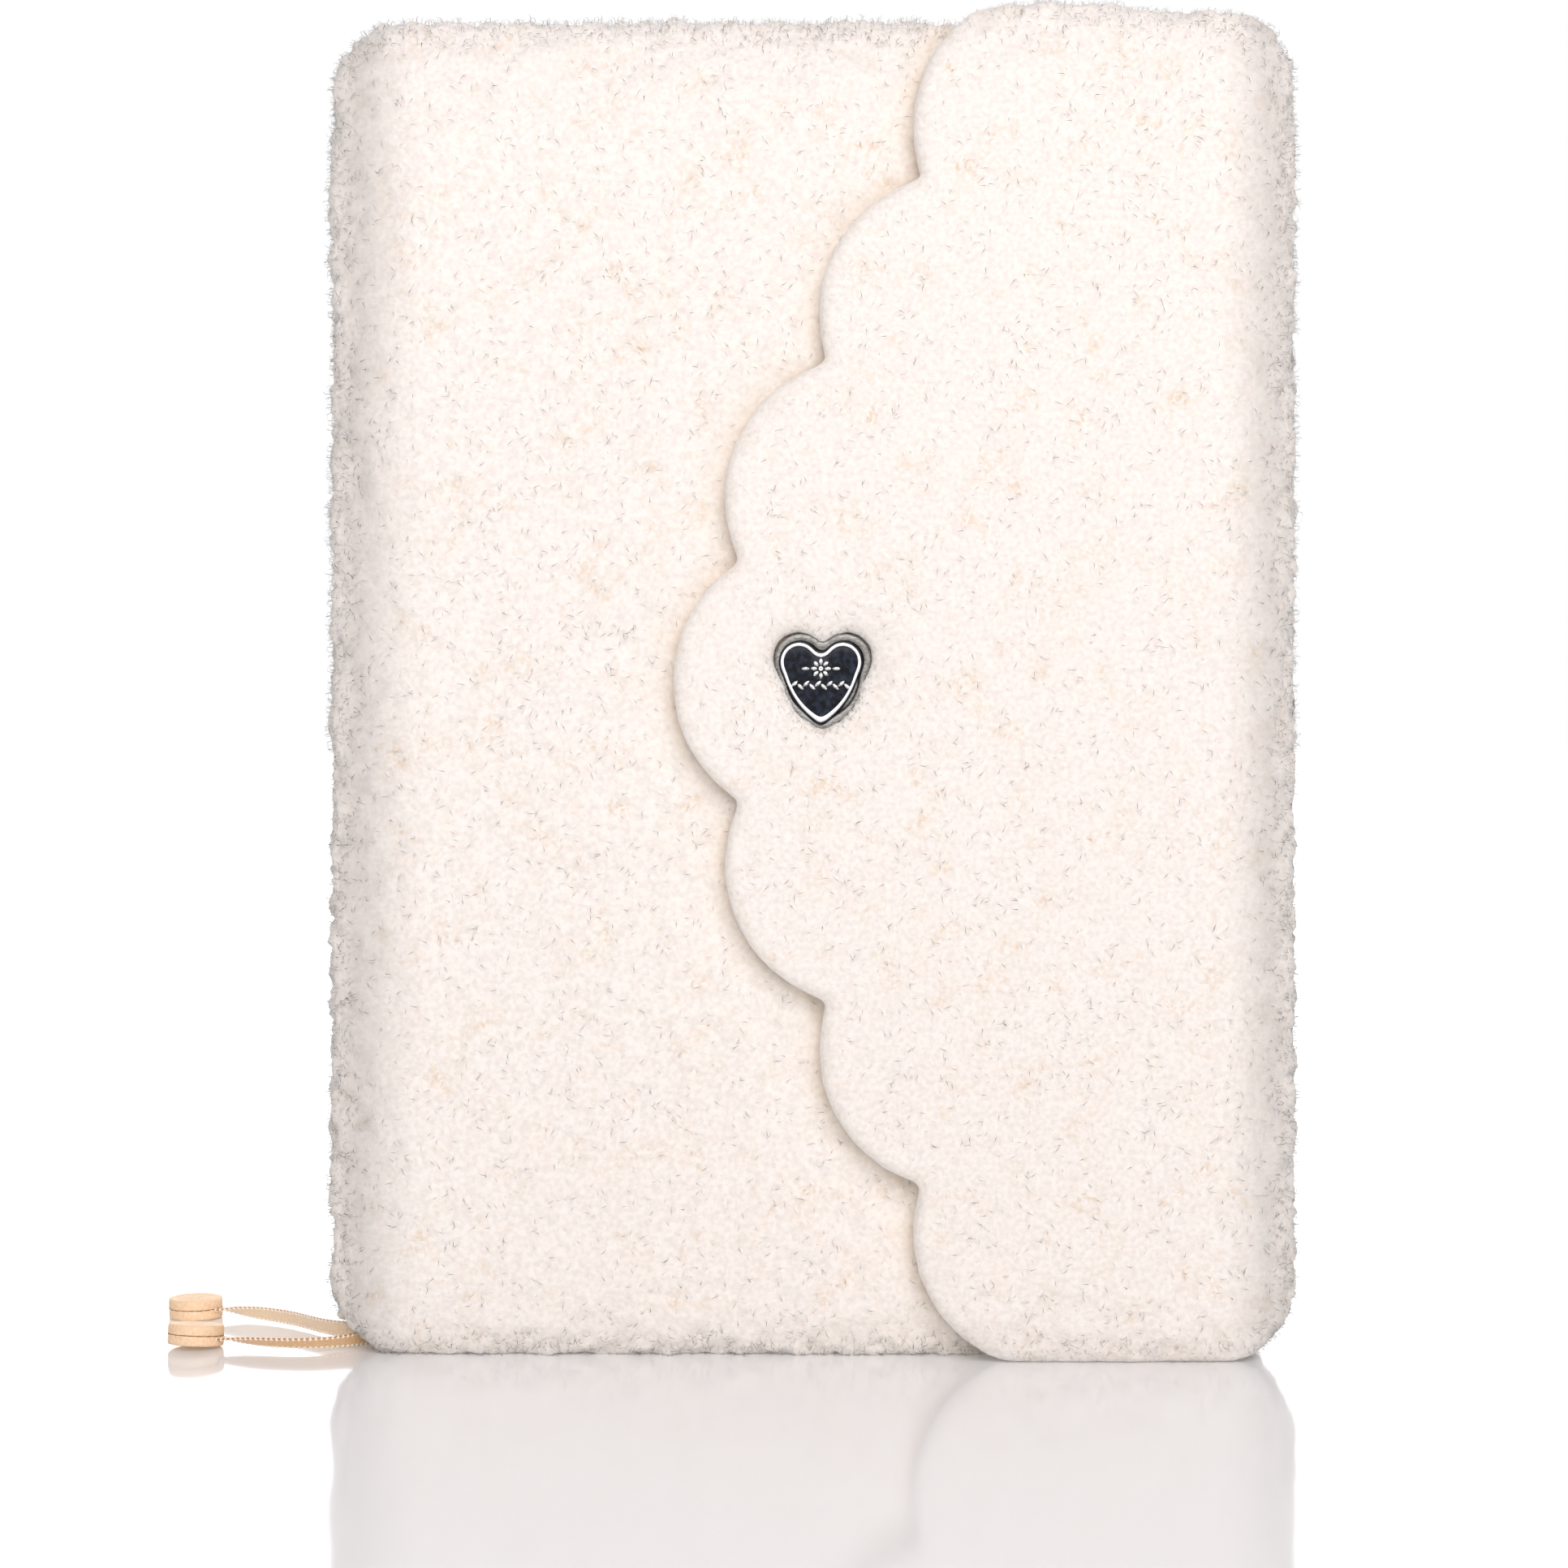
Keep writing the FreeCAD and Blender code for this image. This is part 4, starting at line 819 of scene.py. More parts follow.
def makeFleece():
    # the case's skin and the flap's skin, cut at the seams into one piece for each part of the book
    lumps, curls, curl = makeLumpTree(), makeCurlTree(), makeCurl(pile)
    lumpSizes = {"Lump height": pile["lumpHeight"], "Lump size": pile["lumpSize"],
                 "Fine size": pile["fineSize"], "Warp": pile["warp"]}

    # the case: front cover, spine, back cover and the turn into the fore edge
    case = joinedShell("caseShell", ["front_fleece", "spine_fleece", "back_fleece", "wall_fleece"],
                       [foldCore("backTurn", 1)], wrap["voxel"])
    place = softened(case.data, wrap["softRounds"])
    x, y, z = place.T
    onWall = x > wrap["wallFrom"]
    edge = np.where(onWall, outlineDepth(x, z, wrap["wrapFoot"], wrap["wrapTop"]),
                    outlineDepth(x, z, 0.0, wrap["coverTop"]))
    face = np.where(y < 3, y - wrap["frontFace"], wrap["backFace"] - y)
    noFace = onWall & (y < wrap["wallDeep"])
    face = np.where(noFace, 99, face)
    depth = np.minimum(edge, face)
    share = 1 - smoothStep(2.0, 3.4, depth)
    under = np.where((y < -wrap["cutY"]) & (x < wrap["wallFrom"]), scallopDepth(x, z), -9)
    share *= 1 - smoothStep(-1.2, 1.2, under)
    place[:, 1] += np.where(noFace, 0, crownFall(edge, face) * np.where(y < 3, 1, -1))
    moveShell(case.data, place, share, z, wrap["caseHeadRise"] * (1 - smoothStep(40, 64, x)))
    storeFloat(case.data, "pile", share * (1 + 0.5 * (1 - smoothStep(1.0, 6.0, np.maximum(edge, 0)))))
    storeFloat(case.data, "tufts", share * rimFuzz(edge, face))
    storeFloat(case.data, "curlSize", np.ones(len(x)))
    # painted shade towards the cover's edges
    storeFloat(case.data, "rim", paintedRimShade(x, z))
    # painted shadow along the flap's edge on the cover, tinted tan
    storeFloat(case.data, "warm", wrap["pressed"] * smoothStep(-wrap["flapShadowOut"], 0.5, under)
               * (1 - smoothStep(1.5, wrap["flapShadowIn"], under)))
    runNodes(case, lumps, lumpSizes)

    # the flap, its turn and the fore half of the wall
    front = joinedShell("frontShell", ["wall_fleece", "flap_fleece"], [foldCore("frontTurn", -1)],
                        wrap["voxel"])
    place = softened(front.data, wrap["flapRounds"])
    x, y, z = place.T
    edge = outlineDepth(x, z, wrap["wrapFoot"], wrap["wrapTop"])
    face = np.where(y < -12, y - wrap["flapFace"], 99)
    depth = np.minimum(edge, face)
    share = 1 - smoothStep(2.0, 3.2, depth)
    lobe = np.where(y < -15, scallopDepth(x, z), 99)
    border = smoothStep(0.8, 6.0, lobe)
    share = np.maximum(share, np.where(lobe < 1.6, 1.0, 0.0))
    heart, toHeart = heartReach(x, z)
    ring = smoothStep(0.8, 4.5, heart)
    ring = np.where(y < -15, ring, 1.0)
    place[:, 1] += np.where(y < -15.5, 0.8 * crownFall(edge, face), 0)
    closing = wrap["heartClosing"] * (1 - smoothStep(0.2, 3.2, heart)) * (y < -18.4)
    place[:, 0] += toHeart[:, 0] * closing
    place[:, 2] += toHeart[:, 1] * closing
    place[:, 1] += wrap["heartDimple"] * (1 - smoothStep(0.4, 5.5, heart)) * smoothStep(18.0, 20.5, -y)
    rise = wrap["flapHeadRise"] * smoothStep(23, 35, x) * (1 - smoothStep(44, 63, x))
    moveShell(front.data, place, share, z, rise)
    storeFloat(front.data, "pile", share * (0.18 + 0.82 * border) * (0.1 + 0.9 * ring)
               * (1 + 0.5 * (1 - smoothStep(1.0, 6.0, np.maximum(edge, 0)))))
    heartWall = (heart < 4.0) & (y > -19.4) & (y < -15)
    heartFuzz = wrap["heartFuzz"] * (1 - smoothStep(0.8, 1.8, heart)) * (y < -19.4)
    storeFloat(front.data, "tufts", np.where(heartWall, 0.0, heartFuzz + share * rimFuzz(edge, face)))
    storeFloat(front.data, "curlSize", (0.5 + 0.5 * border) * (0.6 + 0.4 * ring))
    # painted shade towards the edges of the flap and wall
    storeFloat(front.data, "rim", paintedRimShade(x, z))
    # the flap itself carries no painted shadow
    storeFloat(front.data, "warm", np.zeros(len(x)))
    runNodes(front, lumps, lumpSizes)
    print("fleece shells:", len(case.data.vertices), len(front.data.vertices))

    seam, cutX, cutY = wrap["seamX"] * mm, wrap["cutX"] * mm, wrap["cutY"] * mm

    def onCover(c):
        return c.y < cutY and c.x < cutX or c.x < seam

    # each piece with the share of its hidden faces that stays
    pieces = [
        (splitPiece(case, "cover_fleece", onCover), 0.62),
        (splitPiece(case, "fore_edge_fleece", lambda c: not onCover(c) and c.y > 0), 0.8),
        (splitPiece(front, "front_flap_fleece", lambda c: c.y < 0), 0.72),
    ]
    for shell in (case, front):
        bpy.data.objects.remove(shell)
    for piece, share in pieces:
        mesh = piece.data
        values = np.empty(len(mesh.vertices), np.float32)
        mesh.attributes["pile"].data.foreach_get("value", values)
        thinInside(piece, values < 0.004, share)
        runNodes(piece, curls, {"Curl": curl, "Density": pile["curlsPerSquareMm"] * 1e6,
                                "Lean": pile["lean"],
                                "Seed": pile["seed"], "Material": fleece})
        keepOffFloor(piece.data)
        print(piece.name, "triangles about", sum(len(p.vertices) - 2 for p in piece.data.polygons))
    bpy.data.objects.remove(curl)
    cover, foreEdge, flap = [piece for piece, share in pieces]
    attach(cover, "book")
    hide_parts("front_fleece", "spine_fleece", "back_fleece")
    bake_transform(foreEdge)
    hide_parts("wall_fleece")
    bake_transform(flap)
    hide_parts("flap_fleece")


makeFleece()
print("fleece done")


def ringLoft(name, rings, material, closed=False, filled=True, dome=0.0):
    # rings are (outline, y); filled closes the last one towards its middle, closed joins it to the first
    points, faces = [], []
    rings = list(rings)
    count = len(rings[0][0])
    if filled:
        outline, y = rings[-1]
        middle = np.array([outline[:, 0].mean(), -1.5])
        for share in (0.8, 0.6, 0.4, 0.2):
            rings.append((middle + (outline - middle) * share, y - dome * (1 - share ** 2)))
    for outline, y in rings:
        points += [((badge["middle"] + u) * mm, y * mm, (badge["lobeHeight"] + v) * mm) for u, v in outline]
    last = len(rings) if closed else len(rings) - 1
    for ring in range(last):
        a, b = ring * count, (ring + 1) % len(rings) * count
        faces += [(a + i, a + (i + 1) % count, b + (i + 1) % count, b + i) for i in range(count)]
    if filled:
        outline, y = rings[-1]
        points.append(((badge["middle"] + middle[0]) * mm, (y - dome * 0.04) * mm,
                       (badge["lobeHeight"] + middle[1]) * mm))
        base = (len(rings) - 1) * count
        faces += [(base + i, base + (i + 1) % count, len(points) - 1) for i in range(count)]
    if not closed:
        faces.append(list(range(count))[::-1])
    piece = newPiece(name, points, faces, material)
    bm = bmesh.new()
    bm.from_mesh(piece.data)
    bmesh.ops.recalc_face_normals(bm, faces=bm.faces)
    bm.to_mesh(piece.data)
    bm.free()
    return piece


def petalTree():
    # one petal repeated round the rosette's middle
    tree, given, out = newTree("rosettePetals", [("Petals", "NodeSocketInt"), ("Reach", "NodeSocketFloat")])
    ring = addNode(tree, "GeometryNodeMeshCircle", {},
                   {"Vertices": given["Petals"], "Radius": given["Reach"]})
    index = addNode(tree, "GeometryNodeInputIndex").outputs[0]
    per = addNode(tree, "ShaderNodeMath", {"operation": "DIVIDE"}, {0: 2 * math.pi, 1: given["Petals"]})
    angle = addNode(tree, "ShaderNodeMath", {"operation": "MULTIPLY"}, {0: index, 1: per.outputs[0]})
    euler = addNode(tree, "ShaderNodeCombineXYZ", {}, {"Z": angle.outputs[0]})
    turn = addNode(tree, "FunctionNodeEulerToRotation", {}, {0: euler.outputs[0]})
    petals = addNode(tree, "GeometryNodeInstanceOnPoints", {},
                     {"Points": ring.outputs[0], "Instance": given["Geometry"],
                     "Rotation": turn.outputs[0]})
    plain = addNode(tree, "GeometryNodeRealizeInstances", {}, {"Geometry": petals.outputs[0]})
    painted = addNode(tree, "GeometryNodeSetMaterial", {},
                      {"Geometry": plain.outputs[0], "Material": looks["silver"]})
    tree.links.new(painted.outputs[0], out["Geometry"])
    return tree


def leafShape(long, wide, rise):
    # a pointed leaf along X with a ridge down its middle, its face along +Z
    points, faces, steps = [], [], 8
    for i in range(1, steps):
        t = i / steps
        half = wide * math.sin(math.pi * t) ** 0.8
        x = long * (2 * t - 1)
        top = rise * math.sin(math.pi * t)
        points += [(x, -half, 0), (x, -half * 0.6, top * 0.6), (x, 0, top), (x, half * 0.6, top * 0.6),
                   (x, half, 0)]
    tips = [(-long, 0, 0), (long, 0, 0)]
    rows = steps - 1
    for i in range(rows - 1):
        for j in range(4):
            a, b = i * 5 + j, (i + 1) * 5 + j
            faces.append((a, b, b + 1, a + 1))
        faces.append((i * 5 + 4, (i + 1) * 5 + 4, (i + 1) * 5, i * 5))
    points += tips
    start, end = rows * 5, rows * 5 + 1
    for j in range(4):
        faces += [(start, j, j + 1), (end, (rows - 1) * 5 + j + 1, (rows - 1) * 5 + j)]
    faces += [(start, 4, 0), (end, (rows - 1) * 5, (rows - 1) * 5 + 4)]
    return [tuple(c * mm for c in p) for p in points], faces


def makeMotif():
    # a rosette over a garland of leaves
    points, faces = leafShape(rosette["petalLong"], rosette["petalWide"], rosette["rise"])
    motif = runNodes(newPiece("badge_rosette", points, faces), petalTree(),
                     {"Petals": rosette["petals"], "Reach": rosette["reach"] * mm})
    bm = bmesh.new()
    bm.from_mesh(motif.data)
    leafPoints, leafFaces = leafShape(rosette["leafLong"], rosette["leafWide"], rosette["rise"])
    count, half = rosette["leaves"], rosette["garlandHalf"]
    spots = [(-half + 2 * half * i / (count - 1), rosette["leafStagger"] * (-1) ** i,
              rosette["leafTurn"] * (-1) ** i) for i in range(count)]
    drop = rosette["garlandHeight"] - rosette["height"]
    sprigs = [(side * (rosette["reach"] + rosette["sprigGap"]), 0.0, 0.0) for side in (-1, 1)]
    for u, v, turn in [(u, v + drop, turn) for u, v, turn in spots] + sprigs:
        c, n = math.cos(turn), math.sin(turn)
        made = [bm.verts.new((u * mm + x * c - y * n, v * mm + x * n + y * c, z)) for x, y, z in leafPoints]
        for face in leafFaces:
            bm.faces.new([made[i] for i in face]).smooth = True
    size = rosette["boss"] * mm
    boss = [bm.verts.new((r * size * math.cos(a * math.pi / 8), r * size * math.sin(a * math.pi / 8),
                          h * mm))
            for r, h in ((1.0, 0.0), (0.95, 0.12), (0.7, 0.22), (0.35, 0.17)) for a in range(16)]
    top = bm.verts.new((0, 0, 0.12 * mm))
    for ring in range(3):
        for a in range(16):
            b, at = (a + 1) % 16, ring * 16
            bm.faces.new([boss[at + a], boss[at + b], boss[at + 16 + b], boss[at + 16 + a]]).smooth = True
    for a in range(16):
        bm.faces.new([boss[48 + a], boss[48 + (a + 1) % 16], top]).smooth = True
    bm.faces.new(boss[:16][::-1])
    bmesh.ops.recalc_face_normals(bm, faces=bm.faces)
    for vert in bm.verts:   # stood up facing the reader and set on the enamel
        x, y, z = vert.co
        vert.co = ((badge["middle"] + badge["shift"]) * mm + x, badge["motifSeat"] * mm - z,
                   (badge["lobeHeight"] + rosette["height"]) * mm + y)
    bm.to_mesh(motif.data)
    bm.free()
    motif.data.materials.clear()
    motif.data.materials.append(looks["castSilver"])
    return motif


def makeBadge():
    # the heart's layers from the surround out, each with the CAD node it stands for
    steel, dark, silver = looks["steel"], looks["enamel"], looks["silver"]
    shift = badge["shift"]
    parts = [
        (ringLoft("badge_heart_flange", [(heartLine(d, 14), y) for d, y in badge["flange"]], steel),
         "badge_plate", "bright_metal"),
        (ringLoft("badge_heart_body", [(heartLine(d, 12, shift), y) for d, y in badge["body"]], dark), None,
         "dark_inlay"),
        (ringLoft("badge_heart_rim", [(heartLine(d, 12, shift), y) for d, y in badge["rim"]], silver,
                  closed=True, filled=False), "badge_rim", "bright_metal"),
        (ringLoft("badge_heart_face", [(heartLine(d, 12, shift), y) for d, y in badge["face"]], dark,
                  dome=0.1),
         "badge_inlay", "dark_inlay"),
        (makeMotif(), "badge_motif", "bright_metal"),
    ]
    for piece, node, slot in parts:
        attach(piece, "flap")
        if node:
            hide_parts(node)


# brushed steel: mid grey, fine lighter and darker hairlines
looks["steel"] = metalMaterial("brushedSteel", "8a8985", "62615d", 0.48, 0.08, 0.00003, (1500, 4500, 4500))
# polished silver: nearly white, a clean mirror line
looks["silver"] = metalMaterial("polishedSilver", "f4f4f4", "e8e8ea", 0.16, 0.03, 0.000004)
# cast silver: grey hollows, bright high places, finely pitted
looks["castSilver"] = metalMaterial("castSilver", "ecece8", "7c7c7e", 0.35, 0.08, 0.00004,
                                    (3800, 3800, 3800))
# black enamel: near-black blue, clouded with fine lighter specks
looks["enamel"] = enamelMaterial("blackEnamel", "0b0e15", "2a313f")
makeBadge()
print("badge done")


frontRoute = [(-63.5, 2.99, 7.0), (-63.5, 2.99, 4.0), (-65.8, 2.6, 1.7), (-70.6, -1.4, 1.7),
              (-77.6, -9.4, 1.7), (-87.5, -9.9, 1.7), (-96.6, -5.6, 1.7)]
backRoute = [(-63.5, 6.45, 7.0), (-63.5, 6.45, 4.0), (-65.8, 6.3, 1.7), (-71.5, 2.4, 1.7),
             (-78.4, 1.8, 1.7), (-90.5, 17.6, 1.7), (-101.2, 21.8, 1.7)]
bookmark = {
    "width": 3.0, "depth": 0.3, "picotEvery": 0.9, "picotSize": 0.34, "picotInset": 0.8, "picotLong": 1.2,
    # share of the way along, then how far the band has turned from upright to flat, in degrees
    "frontTurn": ((0, 0), (0.3, 10), (0.5, 46), (0.85, 56), (0.95, 70), (1, 88)),
    "backTurn": ((0, 0), (0.35, 12), (0.45, 24), (0.7, 26), (0.88, 38), (0.96, 62), (1, 88)),
}
tab = {
    "radius": 4.55, "layer": 1.65, "gap": 0.1, "foot": 0.05, "segments": 72,
    "front": (-101.0, -4.4), "back": (-105.6, 23.8), "frontTilt": -2.6, "backTilt": 0.5,
    "frontPitch": 5.5, "backPitch": 0.0, "stitches": 20, "stitchLong": 0.5, "stitchWide": 0.1,
    "seamPoints": 96, "seamInset": 0.02,
}


def smoothLine(name, route):
    # the points of the route's own smooth line
    curve = bpy.data.curves.new(name, "CURVE")
    curve.dimensions = "3D"
    curve.resolution_u = 16
    spline = curve.splines.new("NURBS")
    spline.points.add(len(route) - 1)
    for point, place in zip(spline.points, route):
        point.co = (place[0] * mm, place[1] * mm, place[2] * mm, 1)
    spline.order_u = 3
    spline.use_endpoint_u = True
    holder = bpy.data.objects.new(name, curve)
    bpy.context.scene.collection.objects.link(holder)
    bpy.context.view_layer.update()
    line = vertexPlaces(bpy.data.meshes.new_from_object(holder))
    bpy.data.objects.remove(holder)
    return line


def beadTree():
    # beads or stitches laid along an edge at a fixed spacing
    tree, given, out = newTree("ribbonPicots", [("Edge", "NodeSocketObject"), ("Bead", "NodeSocketObject"),
                                                ("Spacing", "NodeSocketFloat"),
                                                ("Material", "NodeSocketMaterial")])
    wire = addNode(tree, "GeometryNodeObjectInfo", {"transform_space": "ORIGINAL"},
                   {"Object": given["Edge"]})
    line = addNode(tree, "GeometryNodeMeshToCurve", {}, {"Mesh": wire.outputs["Geometry"]})
    even = addNode(tree, "GeometryNodeResampleCurve", {"mode": "LENGTH"},
                   {"Curve": line.outputs[0], "Length": given["Spacing"]})
    tangent = addNode(tree, "GeometryNodeInputTangent").outputs[0]
    turn = addNode(tree, "FunctionNodeAlignRotationToVector", {"axis": "X"}, {"Vector": tangent})
    bead = addNode(tree, "GeometryNodeObjectInfo", {"transform_space": "ORIGINAL"},
                   {"Object": given["Bead"]})
    beads = addNode(tree, "GeometryNodeInstanceOnPoints", {}, {"Points": even.outputs[0],
                    "Instance": bead.outputs["Geometry"], "Rotation": turn.outputs[0]})
    plain = addNode(tree, "GeometryNodeRealizeInstances", {}, {"Geometry": beads.outputs[0]})
    painted = addNode(tree, "GeometryNodeSetMaterial", {},
                      {"Geometry": plain.outputs[0], "Material": given["Material"]})
    both = addNode(tree, "GeometryNodeJoinGeometry")
    tree.links.new(given["Geometry"], both.inputs[0])
    tree.links.new(painted.outputs[0], both.inputs[0])
    tree.links.new(both.outputs[0], out["Geometry"])
    return tree


def beadShape(name, long, wide):
    # a small faceted bead, long along X
    bm = bmesh.new()
    bmesh.ops.create_icosphere(bm, subdivisions=1, radius=1.0)
    for vert in bm.verts:
        vert.co = (vert.co.x * long, vert.co.y * wide, vert.co.z * wide)
    mesh = bpy.data.meshes.new(name)
    bm.to_mesh(mesh)
    bm.free()
    mesh.shade_smooth()
    bead = bpy.data.objects.new(name, mesh)
    bpy.context.scene.collection.objects.link(bead)
    return bead


def makeRibbon(name, route, turns, beads, material):
    # a thin band swept along its smooth line, turning from upright to flat, with picots on both edges
    line = smoothLine(name + "_line", route)
    step = np.linalg.norm(np.diff(line, axis=0), axis=1)
    along = np.concatenate([[0], np.cumsum(step)])
    share = along / along[-1]
    angle = np.radians(np.interp(share, *zip(*turns)))
    for _ in range(12):
        angle[1:-1] = 0.5 * angle[1:-1] + 0.25 * (angle[:-2] + angle[2:])
    halfWidth, halfDepth = bookmark["width"] / 2 * mm, bookmark["depth"] / 2 * mm
    section = ((-0.97, -0.5), (-0.86, -1.0), (-0.45, -0.8), (0, -0.75), (0.45, -0.8), (0.86, -1.0),
               (0.97, -0.5),
               (0.97, 0.5), (0.86, 1.0), (0.45, 0.8), (0, 0.75), (-0.45, 0.8), (-0.86, 1.0), (-0.97, 0.5))
    points, faces, places, edges = [], [], [], ([], [])
    count = len(section)
    for i, centre in enumerate(line):
        tangent = Vector(line[min(i + 1, len(line) - 1)] - line[max(i - 1, 0)]).normalized()
        thin = Vector((0, 1, 0)) - tangent * tangent.y
        thin.normalize()
        wide = tangent.cross(thin)
        c, s = math.cos(angle[i]), math.sin(angle[i])
        wide, thin = wide * c + thin * s, thin * c - wide * s
        for u, v in section:
            points.append(Vector(centre) + wide * (u * halfWidth) + thin * (v * halfDepth))
            places.append((along[i], u * halfWidth, 0))
        for side in (0, 1):
            edges[side].append(Vector(centre) + wide * ((2 * side - 1) * bookmark["picotInset"]
                                                        * halfWidth))
    for i in range(len(line) - 1):
        for j in range(count):
            k = (j + 1) % count
            faces.append((i * count + j, i * count + k, (i + 1) * count + k, (i + 1) * count + j))
    last = (len(line) - 1) * count
    faces += [list(range(count))[::-1], [last + j for j in range(count)]]
    ribbon = newPiece(name, points, faces, material)
    bm = bmesh.new()
    bm.from_mesh(ribbon.data)
    bmesh.ops.recalc_face_normals(bm, faces=bm.faces)
    bm.to_mesh(ribbon.data)
    bm.free()
    layer = ribbon.data.attributes.new("along", "FLOAT_VECTOR", "POINT")
    layer.data.foreach_set("vector", np.array(places, np.float32).ravel())
    wires = bpy.data.meshes.new("edges")
    total = len(line)
    links = [(i, i + 1) for k in (0, total) for i in range(k, k + total - 1)]
    wires.from_pydata(edges[0] + edges[1], links, [])
    edge = bpy.data.objects.new("edges", wires)
    bpy.context.scene.collection.objects.link(edge)
    bead = beadShape("bead", bookmark["picotSize"] * bookmark["picotLong"] * mm, bookmark["picotSize"] * mm)
    runNodes(ribbon, beads, {"Edge": edge, "Bead": bead, "Spacing": bookmark["picotEvery"] * mm,
                             "Material": looks["picot"]})
    for spare in (edge, bead):
        bpy.data.objects.remove(spare)
    return ribbon, line, along[-1]


def tabHeight(radius, angle):
    # how the stamped ring and rosette sink into the leather, in mm
    ring = math.exp(-((radius - 3.15) / 0.22) ** 2) + 0.55 * math.exp(-((radius - 2.55) / 0.12) ** 2)
    petals = (0.5 + 0.5 * math.cos(6 * angle)) * math.exp(-((radius - 1.2) / 0.6) ** 2)
    return -0.16 * ring - 0.13 * petals


def leaned(side, x, y, z):
    # a place in a tab's own frame, leaned over so that its lowest edge still rests on the floor, in mm
    tilt, pitch = math.radians(tab[side + "Tilt"]), math.radians(tab[side + "Pitch"])
    x, z = x * math.cos(tilt) - z * math.sin(tilt), z * math.cos(tilt) + x * math.sin(tilt)
    y, z = y * math.cos(pitch) + z * math.sin(pitch), z * math.cos(pitch) - y * math.sin(pitch)
    lift = tab["radius"] * math.hypot(math.sin(tilt), math.sin(pitch))
    return ((tab[side][0] + x) * mm, (tab[side][1] + y) * mm, (z + lift) * mm)


def makeTabLayer(name, side, foot, stamped, phase):
    # one round of leather, a little out of true, with its upper or lower edge skived
    r0, layer, count = tab["radius"], tab["layer"], tab["segments"]
    below, above = (0.08, 0.3) if stamped else (0.3, 0.08)
    profile = [(r0 - below, 0.0), (r0 - 0.3 * below, 0.2 * below), (r0, below), (r0 + 0.02, layer * 0.5),
               (r0, layer - above), (r0 - 0.3 * above, layer - 0.2 * above), (r0 - above, layer)]
    radii = [(r0 - above) * (1 - i / 22) for i in range(1, 22)]
    points, faces = [], []

    def add(radius, height, angle):
        wobble = 1 + 0.006 * math.sin(3 * angle + phase) + 0.004 * math.sin(7 * angle + 2 * phase)
        points.append(leaned(side, radius * wobble * math.cos(angle), radius * wobble * math.sin(angle),
                             height + foot))

    rings = [(r0 * 0.5, 0.0, False)] + [(r, h, False) for r, h in profile]
    rings += [(r, layer, stamped) for r in radii]
    for radius, height, pressed in rings:
        for j in range(count):
            angle = 2 * math.pi * j / count
            add(radius, height + (tabHeight(radius, angle) if pressed else 0), angle)
    for i in range(len(rings) - 1):
        for j in range(count):
            k = (j + 1) % count
            faces.append((i * count + j, i * count + k, (i + 1) * count + k, (i + 1) * count + j))
    add(0, layer, 0)
    last = (len(rings) - 1) * count
    faces += [(last + j, last + (j + 1) % count, len(points) - 1) for j in range(count)]
    faces.append(list(range(count))[::-1])
    return newPiece(name, points, faces, looks["leather"])


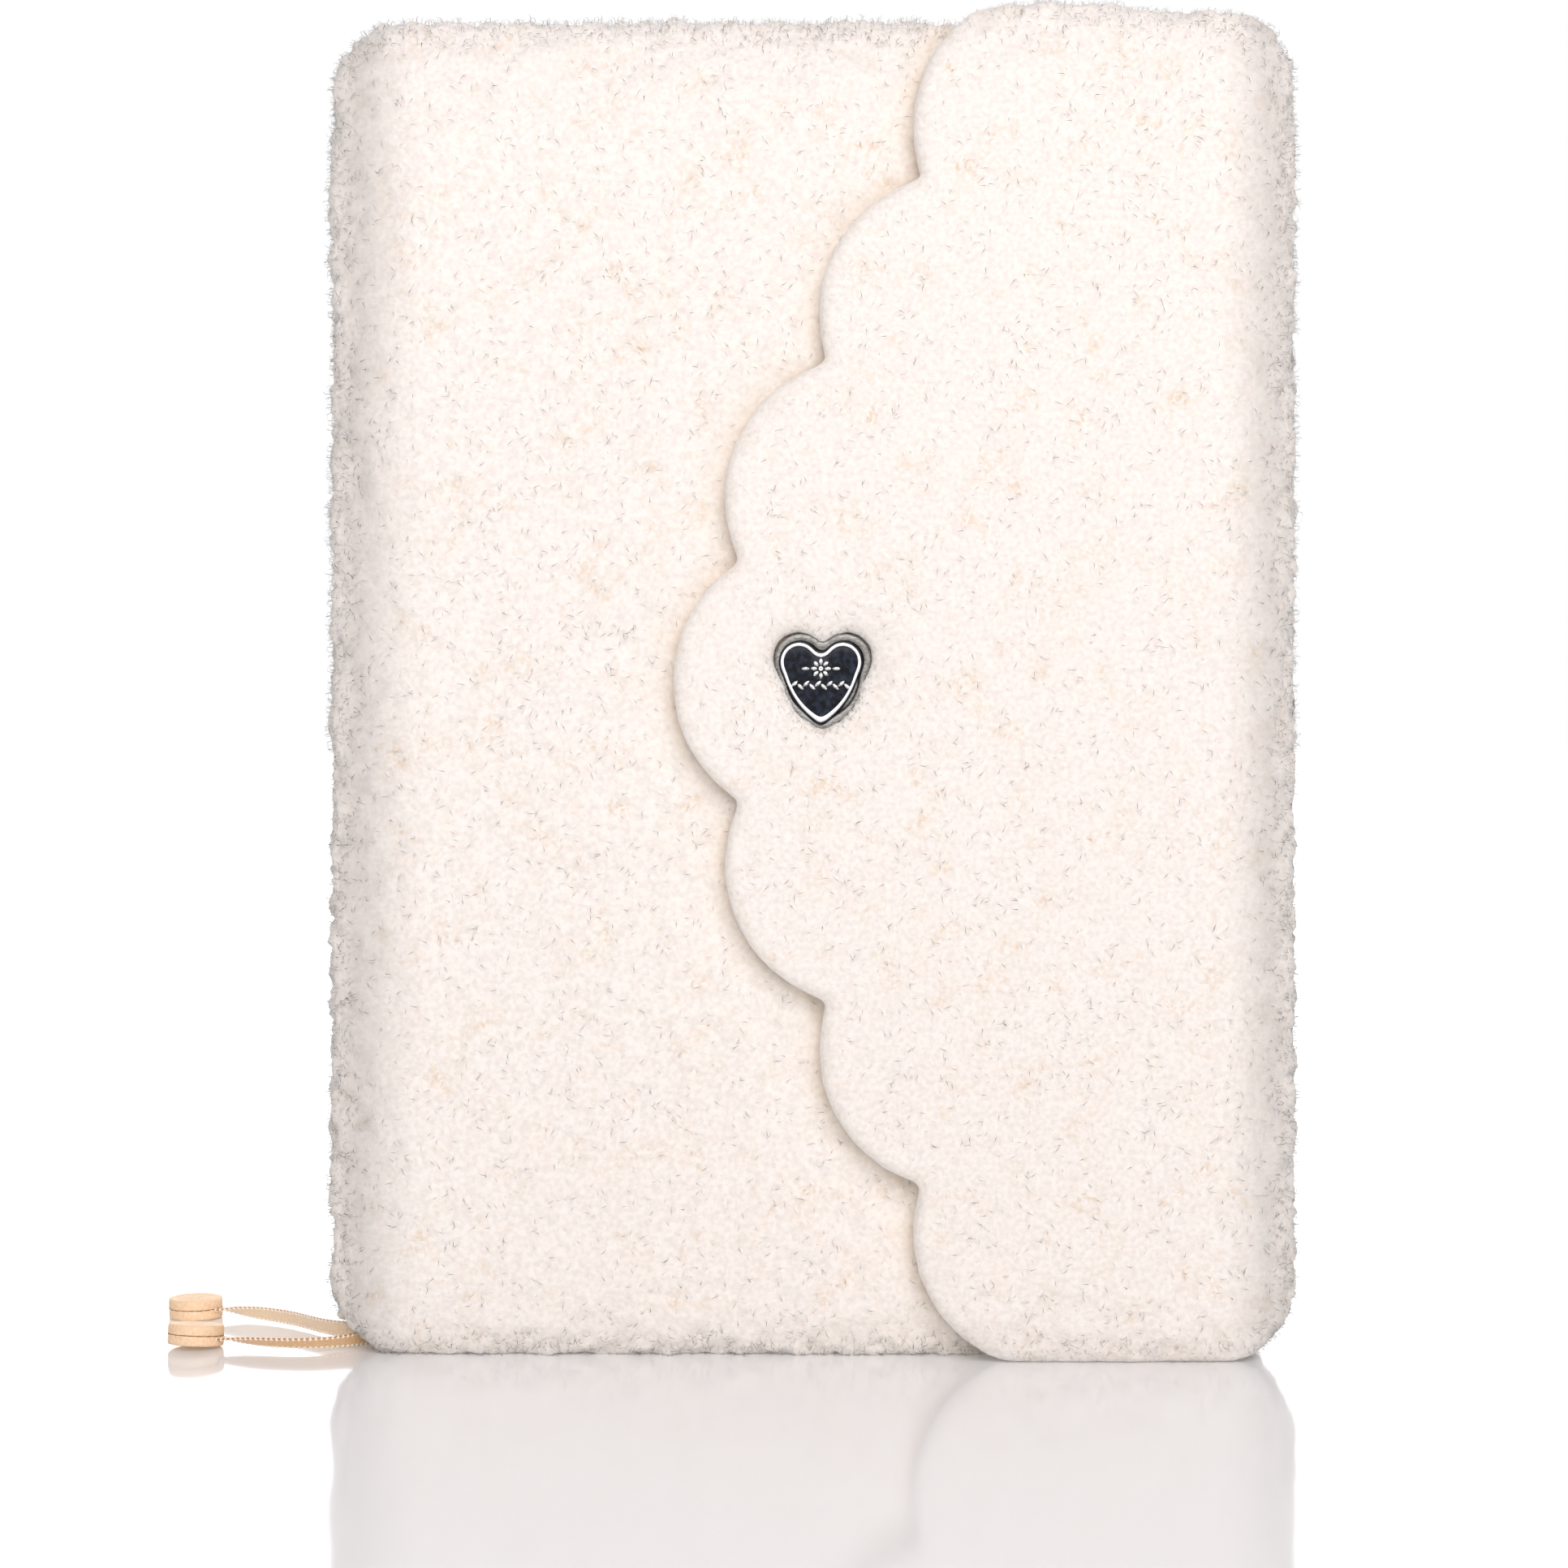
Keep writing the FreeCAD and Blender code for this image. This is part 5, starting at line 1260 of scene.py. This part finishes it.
def makeBookmark(side, route, satin, beads):
    # a ribbon, the two leather rounds on its end and the thread between them
    name = side + "_bookmark"
    ribbon, line, length = makeRibbon(name + "_satin", route, bookmark[side + "Turn"], beads, satin)
    high = tab["foot"] + tab["layer"] + tab["gap"]
    base = makeTabLayer(name + "_leather_base", side, tab["foot"], False, 0.7)
    top = makeTabLayer(name + "_leather_top", side, high, True, 2.1)
    # stitches show between the two layers
    count, reach, middle = tab["seamPoints"], tab["radius"] - tab["seamInset"], high - tab["gap"] / 2
    angles = [2 * math.pi * i / count for i in range(count)]
    ring = [leaned(side, reach * math.cos(angle), reach * math.sin(angle), middle) for angle in angles]
    wires = bpy.data.meshes.new("seam")
    wires.from_pydata(ring, [(i, (i + 1) % count) for i in range(count)], [])
    seam = bpy.data.objects.new("seam", wires)
    bpy.context.scene.collection.objects.link(seam)
    stitch = beadShape("stitch", tab["stitchLong"] * mm, tab["stitchWide"] * mm)
    runNodes(base, beads, {"Edge": seam, "Bead": stitch, "Spacing": 2 * math.pi * tab["radius"]
                           / tab["stitches"] * mm,
                           "Material": looks["thread"]})
    for spare in (seam, stitch):
        bpy.data.objects.remove(spare)
    for piece, slot, stands in ((ribbon, "satin_ribbon", side + "_ribbon"),
                                (base, "tan_leather", side + "_tab_base"),
                                (top, "tan_leather", side + "_tab_top")):
        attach(piece, "book")
        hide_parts(stands)
    print(name, "length", round(length, 4))


# satin ribbon: pale peach, speckled weave, orange selvedge; the lower ribbon's is a darker lot
looks["satin"] = satinMaterial("paleSatin", "ffedd2", "f4d0a2", "cf8f50", 0.42)
looks["darkSatin"] = satinMaterial("tanSatin", "f4d0a0", "dba86c", "b9783c", 0.42)
# the same satin where the pages hide it: the colour only
looks["ribbonInside"] = patternedMaterial("satinInTheBlock", "f3d9b6", "e2bd92", 0.35 * mm, 0.45, 0.00003,
                                          (0.5, 1, 1))
# picot loops: small white dots
looks["picot"] = patternedMaterial("picotLoops", "fffaf0", "fbe9d0", 0.2 * mm, 0.6, 0.00002)
# waxed thread: tan dashes in the tab's seam
looks["thread"] = patternedMaterial("waxedThread", "b98350", "8f5d33", 0.3 * mm, 0.6, 0.00003)
beads = beadTree()
makeBookmark("front", frontRoute, looks["darkSatin"], beads)
makeBookmark("back", backRoute, looks["satin"], beads)
print("bookmarks done")


finishes = {
    "paper": [f"signature_{i:02d}" for i in range(1, 13)],
    "endpaper": ["front_pastedown", "front_flyleaf", "back_flyleaf", "back_pastedown"],
    "kraft": ["spine_liner"],
    "greyboard": ["front_board", "back_board", "spine_board", "wall_board", "flap_board"],
    "foam": ["front_foam", "back_foam"],
    "lining": ["wall_lining", "flap_lining"],
    "mull": ["spine_mull"],
    "tape": ["sewing_tapes", "head_band", "tail_band"],
    "ribbonInside": ["front_ribbon_inner", "back_ribbon_inner"],
    "leather": ["badge_surround"],
    "nickel": ["front_keeper", "flap_magnet"],
    "steel": ["badge_pins", "clamp_bar"],
}
for look, names in finishes.items():
    for name in names:
        nodes[name].data.materials.clear()
        nodes[name].data.materials.append(looks[look])
print("finishes set")
